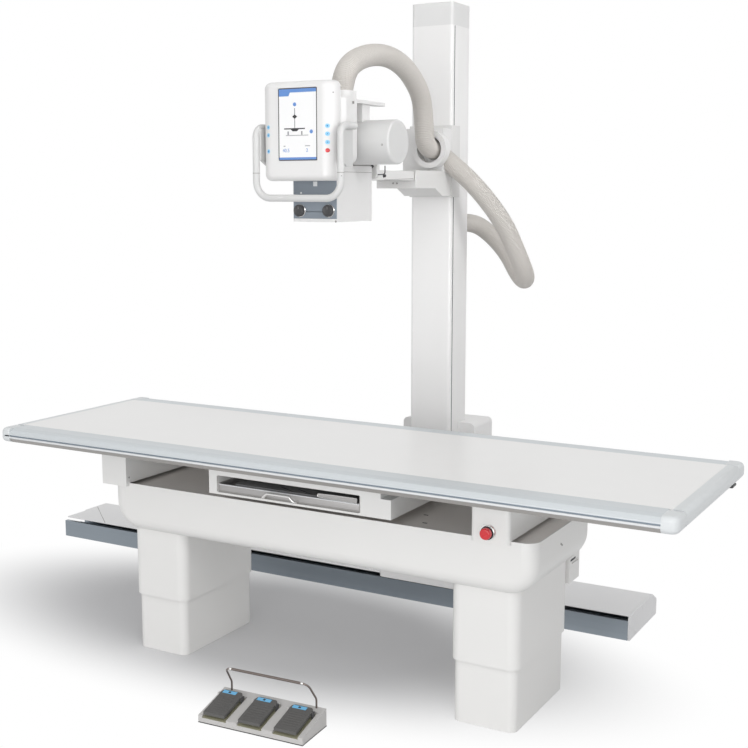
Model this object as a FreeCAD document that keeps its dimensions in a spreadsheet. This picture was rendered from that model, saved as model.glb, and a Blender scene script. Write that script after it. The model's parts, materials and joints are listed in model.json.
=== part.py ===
"""Radiography table with a floor-rail tube stand, built as a parametric document.

Millimetres. The origin is the floor midpoint between the two lifting legs, +X runs
along the table to the right, +Y to the back and +Z up.
"""
import FreeCAD, Part
import math
import os
import re
import Sketcher

os.makedirs("parts", exist_ok=True)
doc = FreeCAD.newDocument("RadiographyTable")
sheet = doc.addObject("Spreadsheet::Sheet", "Sizes")
Vector = FreeCAD.Vector
Rotation = FreeCAD.Rotation

# ---------------------------------------------------------------- driving dimensions
SIZES = {
    # Clearances and common walls
    "slide_gap": 0.5,               # air beside a sliding face
    "rest_gap": 0.3,                # air under a piece that rides on its guide
    "bearing_gap": 0.05,            # radial air in a bearing
    "sheet_wall": 3,                # folded sheet covers
    # Lifting legs
    "leg_spacing": 1239,            # centre to centre
    "leg_width": 207,
    "leg_depth": 405,
    "leg_height": 340,
    "leg_corner": 26,
    "sleeve_overlap": 8,            # sleeve stands this far outside the leg cover
    "sleeve_bottom": 199,
    "sleeve_top": 462,
    "base_flange": 10,
    "base_flange_width": 190,
    "base_flange_depth": 380,
    "anchor_bore": 7,
    "anchor_inset_x": 20,
    "anchor_inset_y": 25,
    "outer_column": 150,
    "outer_column_wall": 10,
    "outer_column_top": 385,
    "ram_wall": 6,
    "ram_bottom": 205,
    "ram_plate": 4,
    "screw_radius": 12,             # lifting screw inside the ram
    "screw_top": 370,
    # Casing that carries the table
    "casing_length": 1588,
    "casing_depth": 480,
    "casing_bottom": 436,
    "casing_top": 605,
    "casing_wall": 4,
    "casing_end_round": 100,
    "casing_side_round": 45,
    "deck_drop": 13,                # rim down to the deck
    "deck_thick": 4,
    "rear_box_x": 620,
    "rear_box_length": 230,
    "rear_box_bottom": 350,
    "rear_box_step": 436,
    "rear_box_top": 478,
    "rear_box_back": 300,
    "rear_slot_length": 60,
    "rear_slot_height": 10,
    # Support blocks on the casing
    "left_block_x": -771,
    "left_block_width": 108,
    "right_block_x": 656,
    "right_block_width": 124,
    "block_depth": 510,
    "block_top": 728,
    "block_wall": 16,
    "block_corner": 14,
    "block_skirt": 10,              # what hangs outside the casing, below its rim
    # Cross guides and carriage under the tabletop
    "cross_guide_offset": 30,
    "cross_guide_width": 12,
    "cross_guide_height": 8,
    "cross_guide_length": 406,
    "saddle_half_x": 40,
    "saddle_half_y": 80,
    "saddle_bottom": 738.3,
    "saddle_thick": 12,
    "cheek": 6,
    "cheek_drop": 729,
    "cheek_rise": 8,
    "tie_bar_width": 30,
    "tie_bar_offset": 22,
    "tie_bar_height": 8,
    # Floating tabletop
    "table_length": 2426,
    "table_width": 762,
    "table_top": 780,
    "table_depth": 49.5,
    "table_shift": 26,              # tabletop centre at rest
    "edge_band": 83,
    "edge_web": 40,
    "edge_lip": 13,
    "edge_lip_thick": 4,
    "edge_shoulder": 29,
    "edge_shoulder_drop": 18,
    "edge_groove_top": 757,
    "edge_groove_bottom": 752,
    "edge_groove_deep": 5,
    "edge_strip_bottom": 745,
    "edge_chamfer": 15,
    "end_band": 38,
    "end_round": 16,
    "cap_length": 47.5,
    "cap_corner": 25,
    "panel_thick": 12,
    "runner_offset": 60,
    "runner_width": 20,
    "runner_inset": 36,             # from the end band to the runner's end
    # Bucky: the grid and detector housing under the tabletop
    "bucky_left": -359,
    "bucky_length": 688,
    "bucky_depth": 510,
    "bucky_bottom": 618.5,
    "bucky_top": 700.5,
    "bucky_floor": 7.5,
    "bucky_roof": 18.5,
    "bucky_bay_left": 36,
    "bucky_bay_length": 541,
    "bucky_bay_depth": 456,
    "bucky_notch_length": 36,
    "bucky_notch_drop": 19.5,
    "bucky_rail_offset": 235,
    "bucky_rail_width": 20,
    "bucky_rail_bottom": 704,
    "bucky_rail_height": 12,
    "hanger_length": 60,
    "hanger_inset": 60,
    "hanger_wall": 5.5,
    "tray_thick": 13.7,
    "tray_depth": 425,
    "tray_set_back": 5,
    "detector_side": 430,
    "detector_thick": 16,
    "detector_front_gap": 40,       # more room in front of it than behind
    "handle_grip": 124,             # between the two handle hooks
    "handle_shift": 19,             # the handle sits left of the tray's middle
    "handle_rod": 4,
    "handle_reach": 24,
    "handle_height": 7,
    "handle_rise": 17,
    "handle_step": 20,
    # Emergency stop
    "stop_x": 652,
    "stop_z": 627.5,
    "stop_bezel": 25,
    "stop_bezel_thick": 4,
    "stop_ring": 20,
    "stop_ring_thick": 5,
    "stop_head": 17.5,
    "stop_head_thick": 14,
    "stop_stem": 7,
    "stop_travel": 4,
    # Floor rail behind the table
    "rail_left": -1945,
    "rail_right": 790,
    "rail_front": 702,
    "rail_back_wall": 836,
    "rail_face": 6,
    "rail_floor": 8,
    "rail_lip_top": 74,
    "rail_lip_bottom": 68,
    "rail_lip_back": 720,
    "guide_front": 775,
    "guide_width": 30,
    "guide_top": 44,
    "cover_front": 709,
    "cover_top": 93,
    "cover_sheet": 5,
    "cover_chamfer_y": 981,
    "cover_back": 1034,
    "cover_back_top": 62,
    "cover_left_inset": 10,
    "end_cap_thick": 8,
    "rail_anchor_bore": 6,
    "rail_anchor_inset": 100,
    "rail_anchor_front": 742,
    "rail_anchor_back": 818,
    # Tube stand
    "stand_left": -250,
    "stand_right": 100,
    "stand_front": 700,
    "stand_back": 1060,
    "stand_bottom": 77,
    "stand_top": 260,
    "stand_corner": 16,
    "stand_side_bottom": 95.5,
    "trolley_plate_bottom": 97,
    "trolley_plate_thick": 15,
    "trolley_plate_inset": 24,
    "trolley_arm_thick": 4,
    "trolley_tongue_bottom": 78,
    "trolley_tongue_thick": 6,
    "trolley_block_length": 250,
    "trolley_block_bottom": 30,
    "column_left": -162,
    "column_width": 173,
    "column_front": 800,
    "column_depth": 155,
    "column_top": 2227,
    "column_round": 12,
    "slot_front": 817.5,
    "slot_width": 5,
    "slot_deep": 8,
    "channel_front": 810,
    "channel_width": 28,
    "channel_deep": 26,
    "shaft_width": 122,             # counterweight shaft inside the column
    "shaft_front": 846,
    "shaft_depth": 91,
    "weight_bottom": 700,
    "weight_length": 600,
    "cap_height": 84,
    "pulley_radius": 32,
    "pulley_width": 16,
    "pulley_axle": 6,
    "pulley_y": 861,
    "pulley_rise": 41,              # axle above the column's end
    "foot_left": -233,
    "foot_right": 83,
    "foot_front": 880,
    "foot_top": 702,
    "foot_corner": 20,
    # Lift carriage on the column
    "carriage_bottom": 1587,
    "carriage_top": 1857,
    "carriage_plate": 4.5,
    "carriage_side": 3.5,
    "carriage_side_back": 865,
    "carriage_tongue": 4,
    "head_front": 720,
    "head_left": -155,
    "head_right": 14,
    "head_bottom": 1684,
    "head_top": 1843,
    "collar_x": -27,
    "collar_z": 1765,
    "collar_length": 35,
    "collar_outer": 70,
    "collar_inner": 50,
    "collar_bore": 38,
    "collar_bore_deep": 45,
    # Telescopic arm
    "arm_left": -149,
    "arm_right": 13,
    "arm_front": 505,
    "arm_bottom": 1620,
    "arm_wall": 5,
    "arm_roof": 3,
    "arm_cavity_bottom": 1647.5,
    "chin_front": 660,
    "chin_slope": 60,
    "chin_drop": 28,
    "inner_side_gap": 3,
    "inner_back": 625,
    "inner_wall": 5,
    # Tube head
    "tube_x": -25,
    "tube_z": 1762.4,
    "tube_radius": 69.5,
    "tube_wall": 6,
    "tube_left": -265,
    "tube_right": 215,
    "tube_cap": 15,
    "tube_cap_spigot": 10,
    "tube_cap_round": 7,
    "insert_radius": 40,
    "insert_length": 230,
    "insert_stem": 15,
    "port_radius": 50,
    "port_bottom": 1690.3,
    "spigot_radius": 35,
    "spigot_length": 12,
    "beam_radius": 22,
    "trunnion_front": 145,
    "trunnion_thick": 18,
    "trunnion_width": 160,
    "trunnion_bottom": 1650,
    "trunnion_top": 1830,
    "trunnion_round": 20,
    "shaft_radius": 30,
    "shaft_flange": 46,
    "shaft_saddle": 100,
    "shaft_collar_thick": 12,
    "lever_x": 20,
    "lever_z": 1676,
    "lever_length": 56,
    "lever_thick": 8,
    "lever_bar": 7,
    "lever_boss": 8,
    "lever_angle": 37,
    "lever_pin": 4,
    # Head block, console and handle
    "block_half": 140,
    "head_block_front": -168,
    "head_block_back": -80,
    "head_block_bottom": 1691,
    "head_block_top": 1893,
    "head_block_round": 22,
    "head_block_chin": 30,
    "console_x": -29,
    "console_half": 133,
    "console_front": -215,
    "console_bottom": 1641,
    "console_top": 1944,
    "console_round": 42,
    "console_edge": 20,
    "screen_x": 2.4,
    "screen_width": 141.5,
    "screen_height": 220,
    "screen_z": 1812.7,
    "key_row_1": 1806,
    "key_row_2": 1782,
    "key_row_3": 1757,
    "key_row_4": 1732.5,
    "screen_thick": 5,
    "key_radius": 6.5,
    "key_sink": 10,                 # how far a key's stem reaches into the housing
    "key_offset": 107,
    "handle_half": 155.3,
    "handle_y": -212,
    "handle_bottom": 1588,
    "handle_top": 1808,
    "handle_tube": 11,
    "handle_bend": 52,
    "handle_top_bend": 34,
    "handle_end": -128,
    "gusset_thick": 8,
    "gusset_drop": 124,
    "gusset_slope": 24,
    "gusset_run": 50,
    "fin_left": 70,
    "fin_width": 40,
    "fin_back": 112,
    "fin_bottom": 1881,
    "fin_thick": 11,
    "fin_round": 18,
    "post_width": 20,
    "post_front": -29,
    "post_depth": 47,
    "bracket_x": 54,
    "bracket_y": -79,
    "bracket_side": 84,
    "bracket_height": 26,
    "bracket_round": 30,
    "plug_radius": 21,
    "plug_x": 150,
    "plug_height": 98,
    # Collimator
    "collimator_side_x": 161,
    "collimator_side_y": 223,
    "collimator_bottom": 1513,
    "collimator_top": 1690,
    "collimator_wall": 5,
    "collimator_round": 3,
    "window_side": 96,
    "front_panel_thick": 4,
    "front_panel_bottom": 1523,
    "front_panel_top": 1682,
    "knob_offset": 54,
    "knob_z": 1548.4,
    "knob_radius": 17.5,
    "knob_length": 13,
    "knob_shaft": 4,
    "knob_shaft_length": 13,
    # Hoses
    "hose_width": 72,
    # Foot switch
    "switch_x": -152,
    "switch_y": -601,
    "switch_angle": 3.3,
    "switch_length": 366,
    "switch_depth": 148,
    "switch_front_height": 24,
    "switch_back_height": 57,
    "pocket_left": 3,               # room beside a pedal
    "pocket_right": 8,
    "pocket_deep": 7,
    "pocket_back": 6,
    "pedal_first": 16,
    "pedal_pitch": 125,
    "pedal_width": 76,
    "pedal_front": 4,
    "pedal_back": 117,
    "pedal_front_lift": 2,
    "pedal_back_lift": 6,
    "pedal_thick": 9,
    "pedal_corner": 13,
    "pivot_y": 100,
    "pivot_z": 55,
    "pivot_radius": 3,
    "pivot_reach": 6,
    "ear_thick": 6,
    "ear_gap": 1,
    "bail_radius": 3,
    "bail_grip": 4.2,
    "bail_inset": 31,
    "bail_y": 142,
    "bail_foot": 10,                # how deep each end sits in the base
    "bail_knee": 84,
    "bail_top": 145,
    "bail_lean": 43,
    "bail_step": 5,
    "bail_round": 22,
}

for row, (alias, number) in enumerate(SIZES.items(), start=1):
    sheet.set("A%d" % row, alias.replace("_", " "))
    sheet.set("B%d" % row, str(number))
    sheet.setAlias("B%d" % row, alias)
doc.recompute()


# ---------------------------------------------------------------- helpers
def size(alias):
    """The number that the sheet holds under this alias."""
    return float(sheet.get(alias))


def sized(text):
    """The expression with each alias written as a reference to the sheet."""
    return re.sub(r"[a-z_]{3,}", lambda found: "Sizes." + found.group(0), str(text))


def link(thing, name, text):
    """Bind one property of a document object to an expression of sheet sizes."""
    thing.setExpression(name, sized(text))


def place(thing, x, y, z):
    """Bind an object's place to three expressions."""
    for axis, text in zip("xyz", (x, y, z)):
        link(thing, "Placement.Base." + axis, text)


def new_body(label):
    """A part-design body that becomes one node."""
    piece = doc.addObject("PartDesign::Body", label)
    piece.Label = label
    return piece


def block(piece, x, y, z, cut=False):
    """Add or cut a block between the low and high expression of each axis."""
    kind = "PartDesign::SubtractiveBox" if cut else "PartDesign::AdditiveBox"
    feature = piece.newObject(kind, piece.Label + ("_pocket" if cut else "_block"))
    for name, span in zip(("Length", "Width", "Height"), (x, y, z)):
        link(feature, name, "(%s) - (%s)" % (span[1], span[0]))
    place(feature, x[0], y[0], z[0])
    return feature


TURN = {
    "x": Rotation(Vector(0, 1, 0), 90),
    "y": Rotation(Vector(1, 0, 0), -90),
    "z": Rotation(),
}


def drum(piece, axis, centre, span, radius, cut=False):
    """Add or cut a cylinder along an axis; centre gives the two other coordinates."""
    kind = "PartDesign::SubtractiveCylinder" if cut else "PartDesign::AdditiveCylinder"
    feature = piece.newObject(kind, piece.Label + ("_bore" if cut else "_drum"))
    link(feature, "Radius", radius)
    link(feature, "Height", "(%s) - (%s)" % (span[1], span[0]))
    feature.Placement = FreeCAD.Placement(Vector(), TURN[axis])
    spots = {"x": (span[0], centre[0], centre[1]),
             "y": (centre[0], span[0], centre[1]),
             "z": (centre[0], centre[1], span[0])}
    place(feature, *spots[axis])
    return feature


def profile(piece, plane, outline, span):
    """Pad a closed outline of expression pairs between two expressions.

    plane "XZ" reads pairs as x, z and pads along y; "YZ" reads y, z and pads along x.
    """
    role = {"XZ": "XZ_Plane", "YZ": "YZ_Plane"}[plane]
    along = {"XZ": "y", "YZ": "x"}[plane]
    sketch = piece.newObject("Sketcher::SketchObject", piece.Label + "_outline")
    origin = [item for item in piece.Origin.OriginFeatures if item.Role == role][0]
    sketch.AttachmentSupport = [(origin, "")]
    sketch.MapMode = "FlatFace"
    # The outline is first drawn roughly, then every corner is tied to the sheet.
    count = len(outline)
    drawn = [corner_point(pair) for pair in outline]
    for number in range(count):
        start = Vector(drawn[number][0], drawn[number][1], 0)
        end = Vector(drawn[(number + 1) % count][0], drawn[(number + 1) % count][1], 0)
        sketch.addGeometry(Part.LineSegment(start, end), False)
    for number in range(count):
        sketch.addConstraint(Sketcher.Constraint("Coincident", number, 2, (number + 1) % count, 1))
    for number, pair in enumerate(outline):
        for kind, text, rough in zip(("DistanceX", "DistanceY"), pair, drawn[number]):
            index = sketch.addConstraint(Sketcher.Constraint(kind, -1, 1, number, 1, rough))
            link(sketch, "Constraints[%d]" % index, text)
    pad = piece.newObject("PartDesign::Pad", piece.Label + "_pad")
    pad.Profile = sketch
    link(pad, "Length", "(%s) - (%s)" % (span[1], span[0]))
    # A sketch on the XZ plane looks along -Y, one on the YZ plane along +X.
    link(sketch, "AttachmentOffset.Base.z", span[0] if along == "x" else "-(%s)" % span[0])
    pad.Reversed = along == "y"
    return pad


def corner_point(pair):
    """Numbers for an outline corner, read from its two expressions."""
    probe = doc.getObject("Probe") or doc.addObject("App::FeaturePython", "Probe")
    if "across" not in probe.PropertiesList:
        probe.addProperty("App::PropertyFloat", "across")
        probe.addProperty("App::PropertyFloat", "up")
    link(probe, "across", pair[0])
    link(probe, "up", pair[1])
    probe.recompute()
    return probe.across, probe.up


def edge_names(shape, axis, where=None):
    """Names of the straight edges along an axis whose middle passes the test."""
    names = []
    for number, edge in enumerate(shape.Edges, start=1):
        if not isinstance(edge.Curve, Part.Line):
            continue
        if abs(getattr(edge.Curve.Direction, axis)) < 0.999:
            continue
        if where is None or where(edge.CenterOfMass):
            names.append("Edge%d" % number)
    return names


def round_off(piece, radius, axis, where=None):
    """Fillet the straight edges of the body's tip that run along an axis."""
    doc.recompute()
    base = piece.Tip
    names = edge_names(base.Shape, axis, where)
    if not names:
        raise ValueError(piece.Label + ": no edge to round")
    fillet = piece.newObject("PartDesign::Fillet", piece.Label + "_fillet")
    fillet.Base = (base, names)
    link(fillet, "Radius", radius)
    return fillet


def round_rim(piece, radius, axis, side):
    """Fillet every edge that lies in the highest or lowest plane of the body."""
    doc.recompute()
    base = piece.Tip
    box = base.Shape.BoundBox
    level = getattr(box, axis.upper() + ("Max" if side > 0 else "Min"))
    names = []
    for number, edge in enumerate(base.Shape.Edges, start=1):
        span = edge.BoundBox
        low = getattr(span, axis.upper() + "Min")
        high = getattr(span, axis.upper() + "Max")
        if abs(low - level) < 0.01 and abs(high - level) < 0.01:
            names.append("Edge%d" % number)
    fillet = piece.newObject("PartDesign::Fillet", piece.Label + "_rim")
    fillet.Base = (base, names)
    link(fillet, "Radius", radius)
    return fillet


def round_outside(piece, radius, where):
    """Fillet the edges of the top and bottom faces whose middle passes the test."""
    doc.recompute()
    base = piece.Tip
    box = base.Shape.BoundBox
    names = []
    for number, edge in enumerate(base.Shape.Edges, start=1):
        span = edge.BoundBox
        flat = span.ZMax - span.ZMin < 0.01
        outside = min(abs(span.ZMax - box.ZMax), abs(span.ZMin - box.ZMin)) < 0.01
        if flat and outside and where(edge.CenterOfMass):
            names.append("Edge%d" % number)
    fillet = piece.newObject("PartDesign::Fillet", piece.Label + "_outside")
    fillet.Base = (base, names)
    link(fillet, "Radius", radius)
    return fillet


def hollow(piece, wall, axis, side):
    """Hollow the body to a wall: open at its high (1), low (-1) or both (0) ends."""
    doc.recompute()
    base = piece.Tip
    box = base.Shape.BoundBox
    ends = {1: ("Max",), -1: ("Min",), 0: ("Min", "Max")}[side]
    levels = [getattr(box, axis.upper() + end) for end in ends]
    names = []
    for number, face in enumerate(base.Shape.Faces, start=1):
        span = face.BoundBox
        low = getattr(span, axis.upper() + "Min")
        high = getattr(span, axis.upper() + "Max")
        if high - low < 0.01 and min(abs(low - level) for level in levels) < 0.01:
            names.append("Face%d" % number)
    shell = piece.newObject("PartDesign::Thickness", piece.Label + "_shell")
    shell.Base = (base, names)
    link(shell, "Value", wall)
    shell.Join = 1
    shell.Reversed = True
    return shell


def gather(label, pieces):
    """One node that holds several separate solids."""
    group = doc.addObject("Part::Compound", label)
    group.Label = label
    group.Links = pieces
    return group


def tube_path(points, bends):
    """Straight runs joined by tangent arcs; bends gives one radius per inner point."""
    edges = []
    start = points[0]
    for before, corner, after, bend in zip(points, points[1:], points[2:], bends):
        back = (before - corner).normalize()
        ahead = (after - corner).normalize()
        half = (math.pi - back.getAngle(ahead)) / 2
        reach = bend * math.tan(half)
        first = corner + back * reach
        last = corner + ahead * reach
        middle_way = (back + ahead).normalize()
        centre = corner + middle_way * (bend / math.cos(half))
        middle = centre - middle_way * bend
        edges.append(Part.LineSegment(start, first).toShape())
        edges.append(Part.Arc(first, middle, last).toShape())
        start = last
    edges.append(Part.LineSegment(start, points[-1]).toShape())
    return Part.Wire(edges)


def swept_tube(path, radius):
    """A solid round tube along a path."""
    start = path.Edges[0]
    heading = start.tangentAt(start.FirstParameter)
    ring = Part.Wire(Part.makeCircle(radius, start.Vertexes[0].Point, heading))
    return path.makePipeShell([ring], True, True)


def hose_bends(points):
    """The largest bend each corner's two runs allow."""
    bends = []
    for before, corner, after in zip(points, points[1:], points[2:]):
        turn = math.pi - (before - corner).getAngle(after - corner)
        run = min((before - corner).Length, (after - corner).Length)
        bends.append(0.45 * run / math.tan(turn / 2))
    return bends


def shape_node(label, shape):
    """A node whose solid comes straight from the geometry functions."""
    node = doc.addObject("Part::Feature", label)
    node.Label = label
    node.Shape = shape
    node.Placement = FreeCAD.Placement()
    return node


NODES = []


def node(thing):
    """Keep an object for export as one node of the part."""
    NODES.append(thing)
    return thing


SIDES = (("left", -1), ("right", 1))


# ---------------------------------------------------------------- lifting legs
def leg_x(side):
    return "%d * leg_spacing / 2" % side


def box_around(x, y, width, depth):
    """Low and high expressions of a rectangle centred on x, y."""
    return ("%s - (%s) / 2" % (x, width), "%s + (%s) / 2" % (x, width)), \
           ("%s - (%s) / 2" % (y, depth), "%s + (%s) / 2" % (y, depth))


def open_tube(label, x, width, depth, low, high, wall, corner):
    """A rectangular sheet tube, open at both ends, with rounded upright corners."""
    piece = new_body(label)
    span_x, span_y = box_around(x, "0", width, depth)
    block(piece, span_x, span_y, (low, high))
    round_off(piece, corner, "z")
    hollow(piece, wall, "z", 0)
    return piece


leg_covers = []
leg_sleeves = []
lift_bases = []
lift_rams = []
for side_name, side in SIDES:
    x = leg_x(side)
    leg_covers.append(open_tube("leg_cover_" + side_name, x, "leg_width", "leg_depth",
                                "0", "leg_height", "sheet_wall", "leg_corner"))
    leg_sleeves.append(open_tube("leg_sleeve_" + side_name, x,
                                 "(leg_width + 2 * sleeve_overlap)", "(leg_depth + 2 * sleeve_overlap)",
                                 "sleeve_bottom", "sleeve_top", "sheet_wall",
                                 "(leg_corner + sleeve_overlap)"))

    base = new_body("lift_base_" + side_name)
    flange_x, flange_y = box_around(x, "0", "base_flange_width", "base_flange_depth")
    tube_x, tube_y = box_around(x, "0", "outer_column", "outer_column")
    hole_x, hole_y = box_around(x, "0", "outer_column - 2 * outer_column_wall",
                                "outer_column - 2 * outer_column_wall")
    block(base, flange_x, flange_y, ("0", "base_flange"))
    block(base, tube_x, tube_y, ("0", "outer_column_top"))
    block(base, hole_x, hole_y, ("base_flange", "outer_column_top + 1"), cut=True)
    drum(base, "z", (x, "0"), ("0", "screw_top"), "screw_radius")
    for turn_x in (-1, 1):
        for turn_y in (-1, 1):
            spot = ("%s + %d * (base_flange_width / 2 - anchor_inset_x)" % (x, turn_x),
                    "%d * (base_flange_depth / 2 - anchor_inset_y)" % turn_y)
            drum(base, "z", spot, ("-1", "base_flange + 1"), "anchor_bore", cut=True)
    lift_bases.append(base)

    ram = new_body("lift_ram_" + side_name)
    ram_size = "(outer_column - 2 * outer_column_wall - 2 * slide_gap)"
    ram_x, ram_y = box_around(x, "0", ram_size, ram_size)
    bore_x, bore_y = box_around(x, "0", ram_size + " - 2 * ram_wall", ram_size + " - 2 * ram_wall")
    deck_bottom = "casing_top - deck_drop - deck_thick"
    block(ram, flange_x, flange_y, (deck_bottom + " - ram_plate", deck_bottom))
    block(ram, ram_x, ram_y, ("ram_bottom", deck_bottom + " - ram_plate"))
    block(ram, bore_x, bore_y, ("ram_bottom - 1", deck_bottom + " - 2 * ram_plate"), cut=True)
    lift_rams.append(ram)

node(gather("leg_covers", leg_covers))
node(gather("leg_sleeves", leg_sleeves))
node(gather("lift_bases", lift_bases))
node(gather("lift_rams", lift_rams))


# ---------------------------------------------------------------- casing and deck
def table_casing():
    """The trough: rounded ends and sides, open on top, with two leg openings."""
    piece = new_body("table_casing")
    block(piece, ("-casing_length / 2", "casing_length / 2"),
          ("-casing_depth / 2", "casing_depth / 2"), ("casing_bottom", "casing_top"))
    low = size("casing_bottom")
    round_off(piece, "casing_end_round", "y", lambda spot: abs(spot.z - low) < 1)
    doc.recompute()
    base = piece.Tip
    top = size("casing_top")
    half = size("casing_depth") / 2
    names = []
    for number, edge in enumerate(base.Shape.Edges, start=1):
        middle = edge.CenterOfMass
        if abs(abs(middle.y) - half) < 0.01 and middle.z < top - 1:
            names.append("Edge%d" % number)
    fillet = piece.newObject("PartDesign::Fillet", "table_casing_sides")
    fillet.Base = (base, names)
    link(fillet, "Radius", "casing_side_round")
    hollow(piece, "casing_wall", "z", 1)
    for side_name, side in SIDES:
        span_x, span_y = box_around(leg_x(side), "0",
                                    "leg_width + 2 * sleeve_overlap + 2 * rest_gap",
                                    "leg_depth + 2 * sleeve_overlap + 2 * rest_gap")
        block(piece, span_x, span_y, ("casing_bottom - 1", "sleeve_top + 1"), cut=True)
    return piece


def casing_deck():
    """The flat plate that closes the trough a little below its rim."""
    piece = new_body("casing_deck")
    block(piece, ("-casing_length / 2 + casing_wall + rest_gap", "casing_length / 2 - casing_wall - rest_gap"),
          ("-casing_depth / 2 + casing_wall + rest_gap", "casing_depth / 2 - casing_wall - rest_gap"),
          ("casing_top - deck_drop - deck_thick", "casing_top - deck_drop"))
    round_off(piece, "casing_side_round - casing_wall", "z")
    return piece


def rear_control_box():
    """The control box behind the right leg, under the casing's back edge."""
    piece = new_body("rear_control_box")
    length = ("rear_box_x - rear_box_length / 2", "rear_box_x + rear_box_length / 2")
    sleeve_back = "leg_depth / 2 + sleeve_overlap"
    block(piece, length, (sleeve_back, "rear_box_back"), ("rear_box_bottom", "rear_box_step"))
    block(piece, length, ("casing_depth / 2", "rear_box_back"), ("rear_box_step", "rear_box_top"))
    block(piece, ("rear_box_x + rear_box_length / 2 - sheet_wall * 2", "rear_box_x + rear_box_length / 2 + 1"),
          ("rear_box_back - rear_slot_length - sheet_wall * 3", "rear_box_back - sheet_wall * 3"),
          ("rear_box_bottom + 6 * rear_slot_height", "rear_box_bottom + 7 * rear_slot_height"), cut=True)
    return piece


node(table_casing())
node(casing_deck())
node(rear_control_box())


# ---------------------------------------------------------------- support blocks and guides
def block_x(side):
    return "left_block_x" if side < 0 else "right_block_x"


def block_width(side):
    return "left_block_width" if side < 0 else "right_block_width"


def support_block(side_name, side):
    """A hollow block on the casing rim that carries the tabletop's cross guides."""
    piece = new_body("support_block_" + side_name)
    span_x, span_y = box_around(block_x(side), "0", block_width(side), "block_depth")
    block(piece, span_x, span_y, ("casing_top - block_skirt", "block_top"))
    if side > 0:
        round_off(piece, "block_corner", "z")
    casing_x, casing_y = box_around("0", "0", "casing_length + 2 * rest_gap", "casing_depth + 2 * rest_gap")
    block(piece, casing_x, casing_y, ("casing_top - block_skirt - 1", "casing_top"), cut=True)
    inside_x, inside_y = box_around(block_x(side), "0", block_width(side) + " - 2 * block_wall",
                                    "casing_depth - 2 * casing_wall - 2 * block_wall")
    block(piece, inside_x, inside_y, ("casing_top - 1", "block_top - block_wall / 2"), cut=True)
    if side > 0:
        drum(piece, "y", ("stop_x", "stop_z"), ("-block_depth / 2 - 1", "-casing_depth / 2 + 2 * block_wall"),
             "stop_stem + slide_gap", cut=True)
    return piece


node(gather("support_blocks", [support_block(side_name, side) for side_name, side in SIDES]))

guides = []
for side_name, side in SIDES:
    for offset in (-1, 1):
        guide = new_body("cross_guide_%s_%d" % (side_name, offset + 2))
        guide_x, guide_y = box_around("(%s + %d * cross_guide_offset)" % (block_x(side), offset), "0",
                                      "cross_guide_width", "cross_guide_length")
        block(guide, guide_x, guide_y, ("block_top", "block_top + cross_guide_height"))
        guides.append(guide)
for offset in (-1, 1):
    rail = new_body("bucky_rail_%d" % (offset + 2))
    middle = "(%d * bucky_rail_offset)" % offset
    block(rail, ("left_block_x + left_block_width / 2", "right_block_x - right_block_width / 2"),
          ("%s - bucky_rail_width / 2" % middle, "%s + bucky_rail_width / 2" % middle),
          ("bucky_rail_bottom", "bucky_rail_bottom + bucky_rail_height"))
    guides.append(rail)
node(gather("guide_rails", guides))


def cross_carriage():
    """Two saddles on the cross guides, joined by tie bars, that hold the table runners."""
    piece = new_body("cross_carriage")
    saddle_top = "saddle_bottom + saddle_thick"
    for offset in (-1, 1):
        bar = "(%d * tie_bar_offset)" % offset
        block(piece, (block_x(-1), block_x(1)),
              ("%s - tie_bar_width / 2" % bar, "%s + tie_bar_width / 2" % bar),
              ("saddle_bottom + 1", "saddle_bottom + 1 + tie_bar_height"))
    for side_name, side in SIDES:
        block(piece, ("%s - saddle_half_x" % block_x(side), "%s + saddle_half_x" % block_x(side)),
              ("-saddle_half_y", "saddle_half_y"), ("saddle_bottom", saddle_top))
        for offset in (-1, 1):
            # Cheeks below run beside the inner face of each cross guide.
            inner = "(%s + %d * (cross_guide_offset - cross_guide_width / 2 - slide_gap - cheek / 2))" \
                    % (block_x(side), offset)
            block(piece, ("%s - cheek / 2" % inner, "%s + cheek / 2" % inner),
                  ("-saddle_half_y", "saddle_half_y"), ("cheek_drop", "saddle_bottom"))
            # Cheeks above hold each table runner between them.
            for edge in (-1, 1):
                wall = "(%d * runner_offset + %d * (runner_width / 2 + slide_gap + cheek / 2))" % (offset, edge)
                block(piece, ("%s - saddle_half_x" % block_x(side), "%s + saddle_half_x" % block_x(side)),
                      ("%s - cheek / 2" % wall, "%s + cheek / 2" % wall),
                      (saddle_top, "%s + rest_gap + cheek_rise" % saddle_top))
    return piece


node(cross_carriage())

# ---------------------------------------------------------------- tabletop
TABLE_LEFT = "(table_shift - table_length / 2)"
TABLE_RIGHT = "(table_shift + table_length / 2)"
PANEL_HALF = "(table_width / 2 - edge_band)"
TABLE_BOTTOM = "(table_top - table_depth)"


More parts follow.
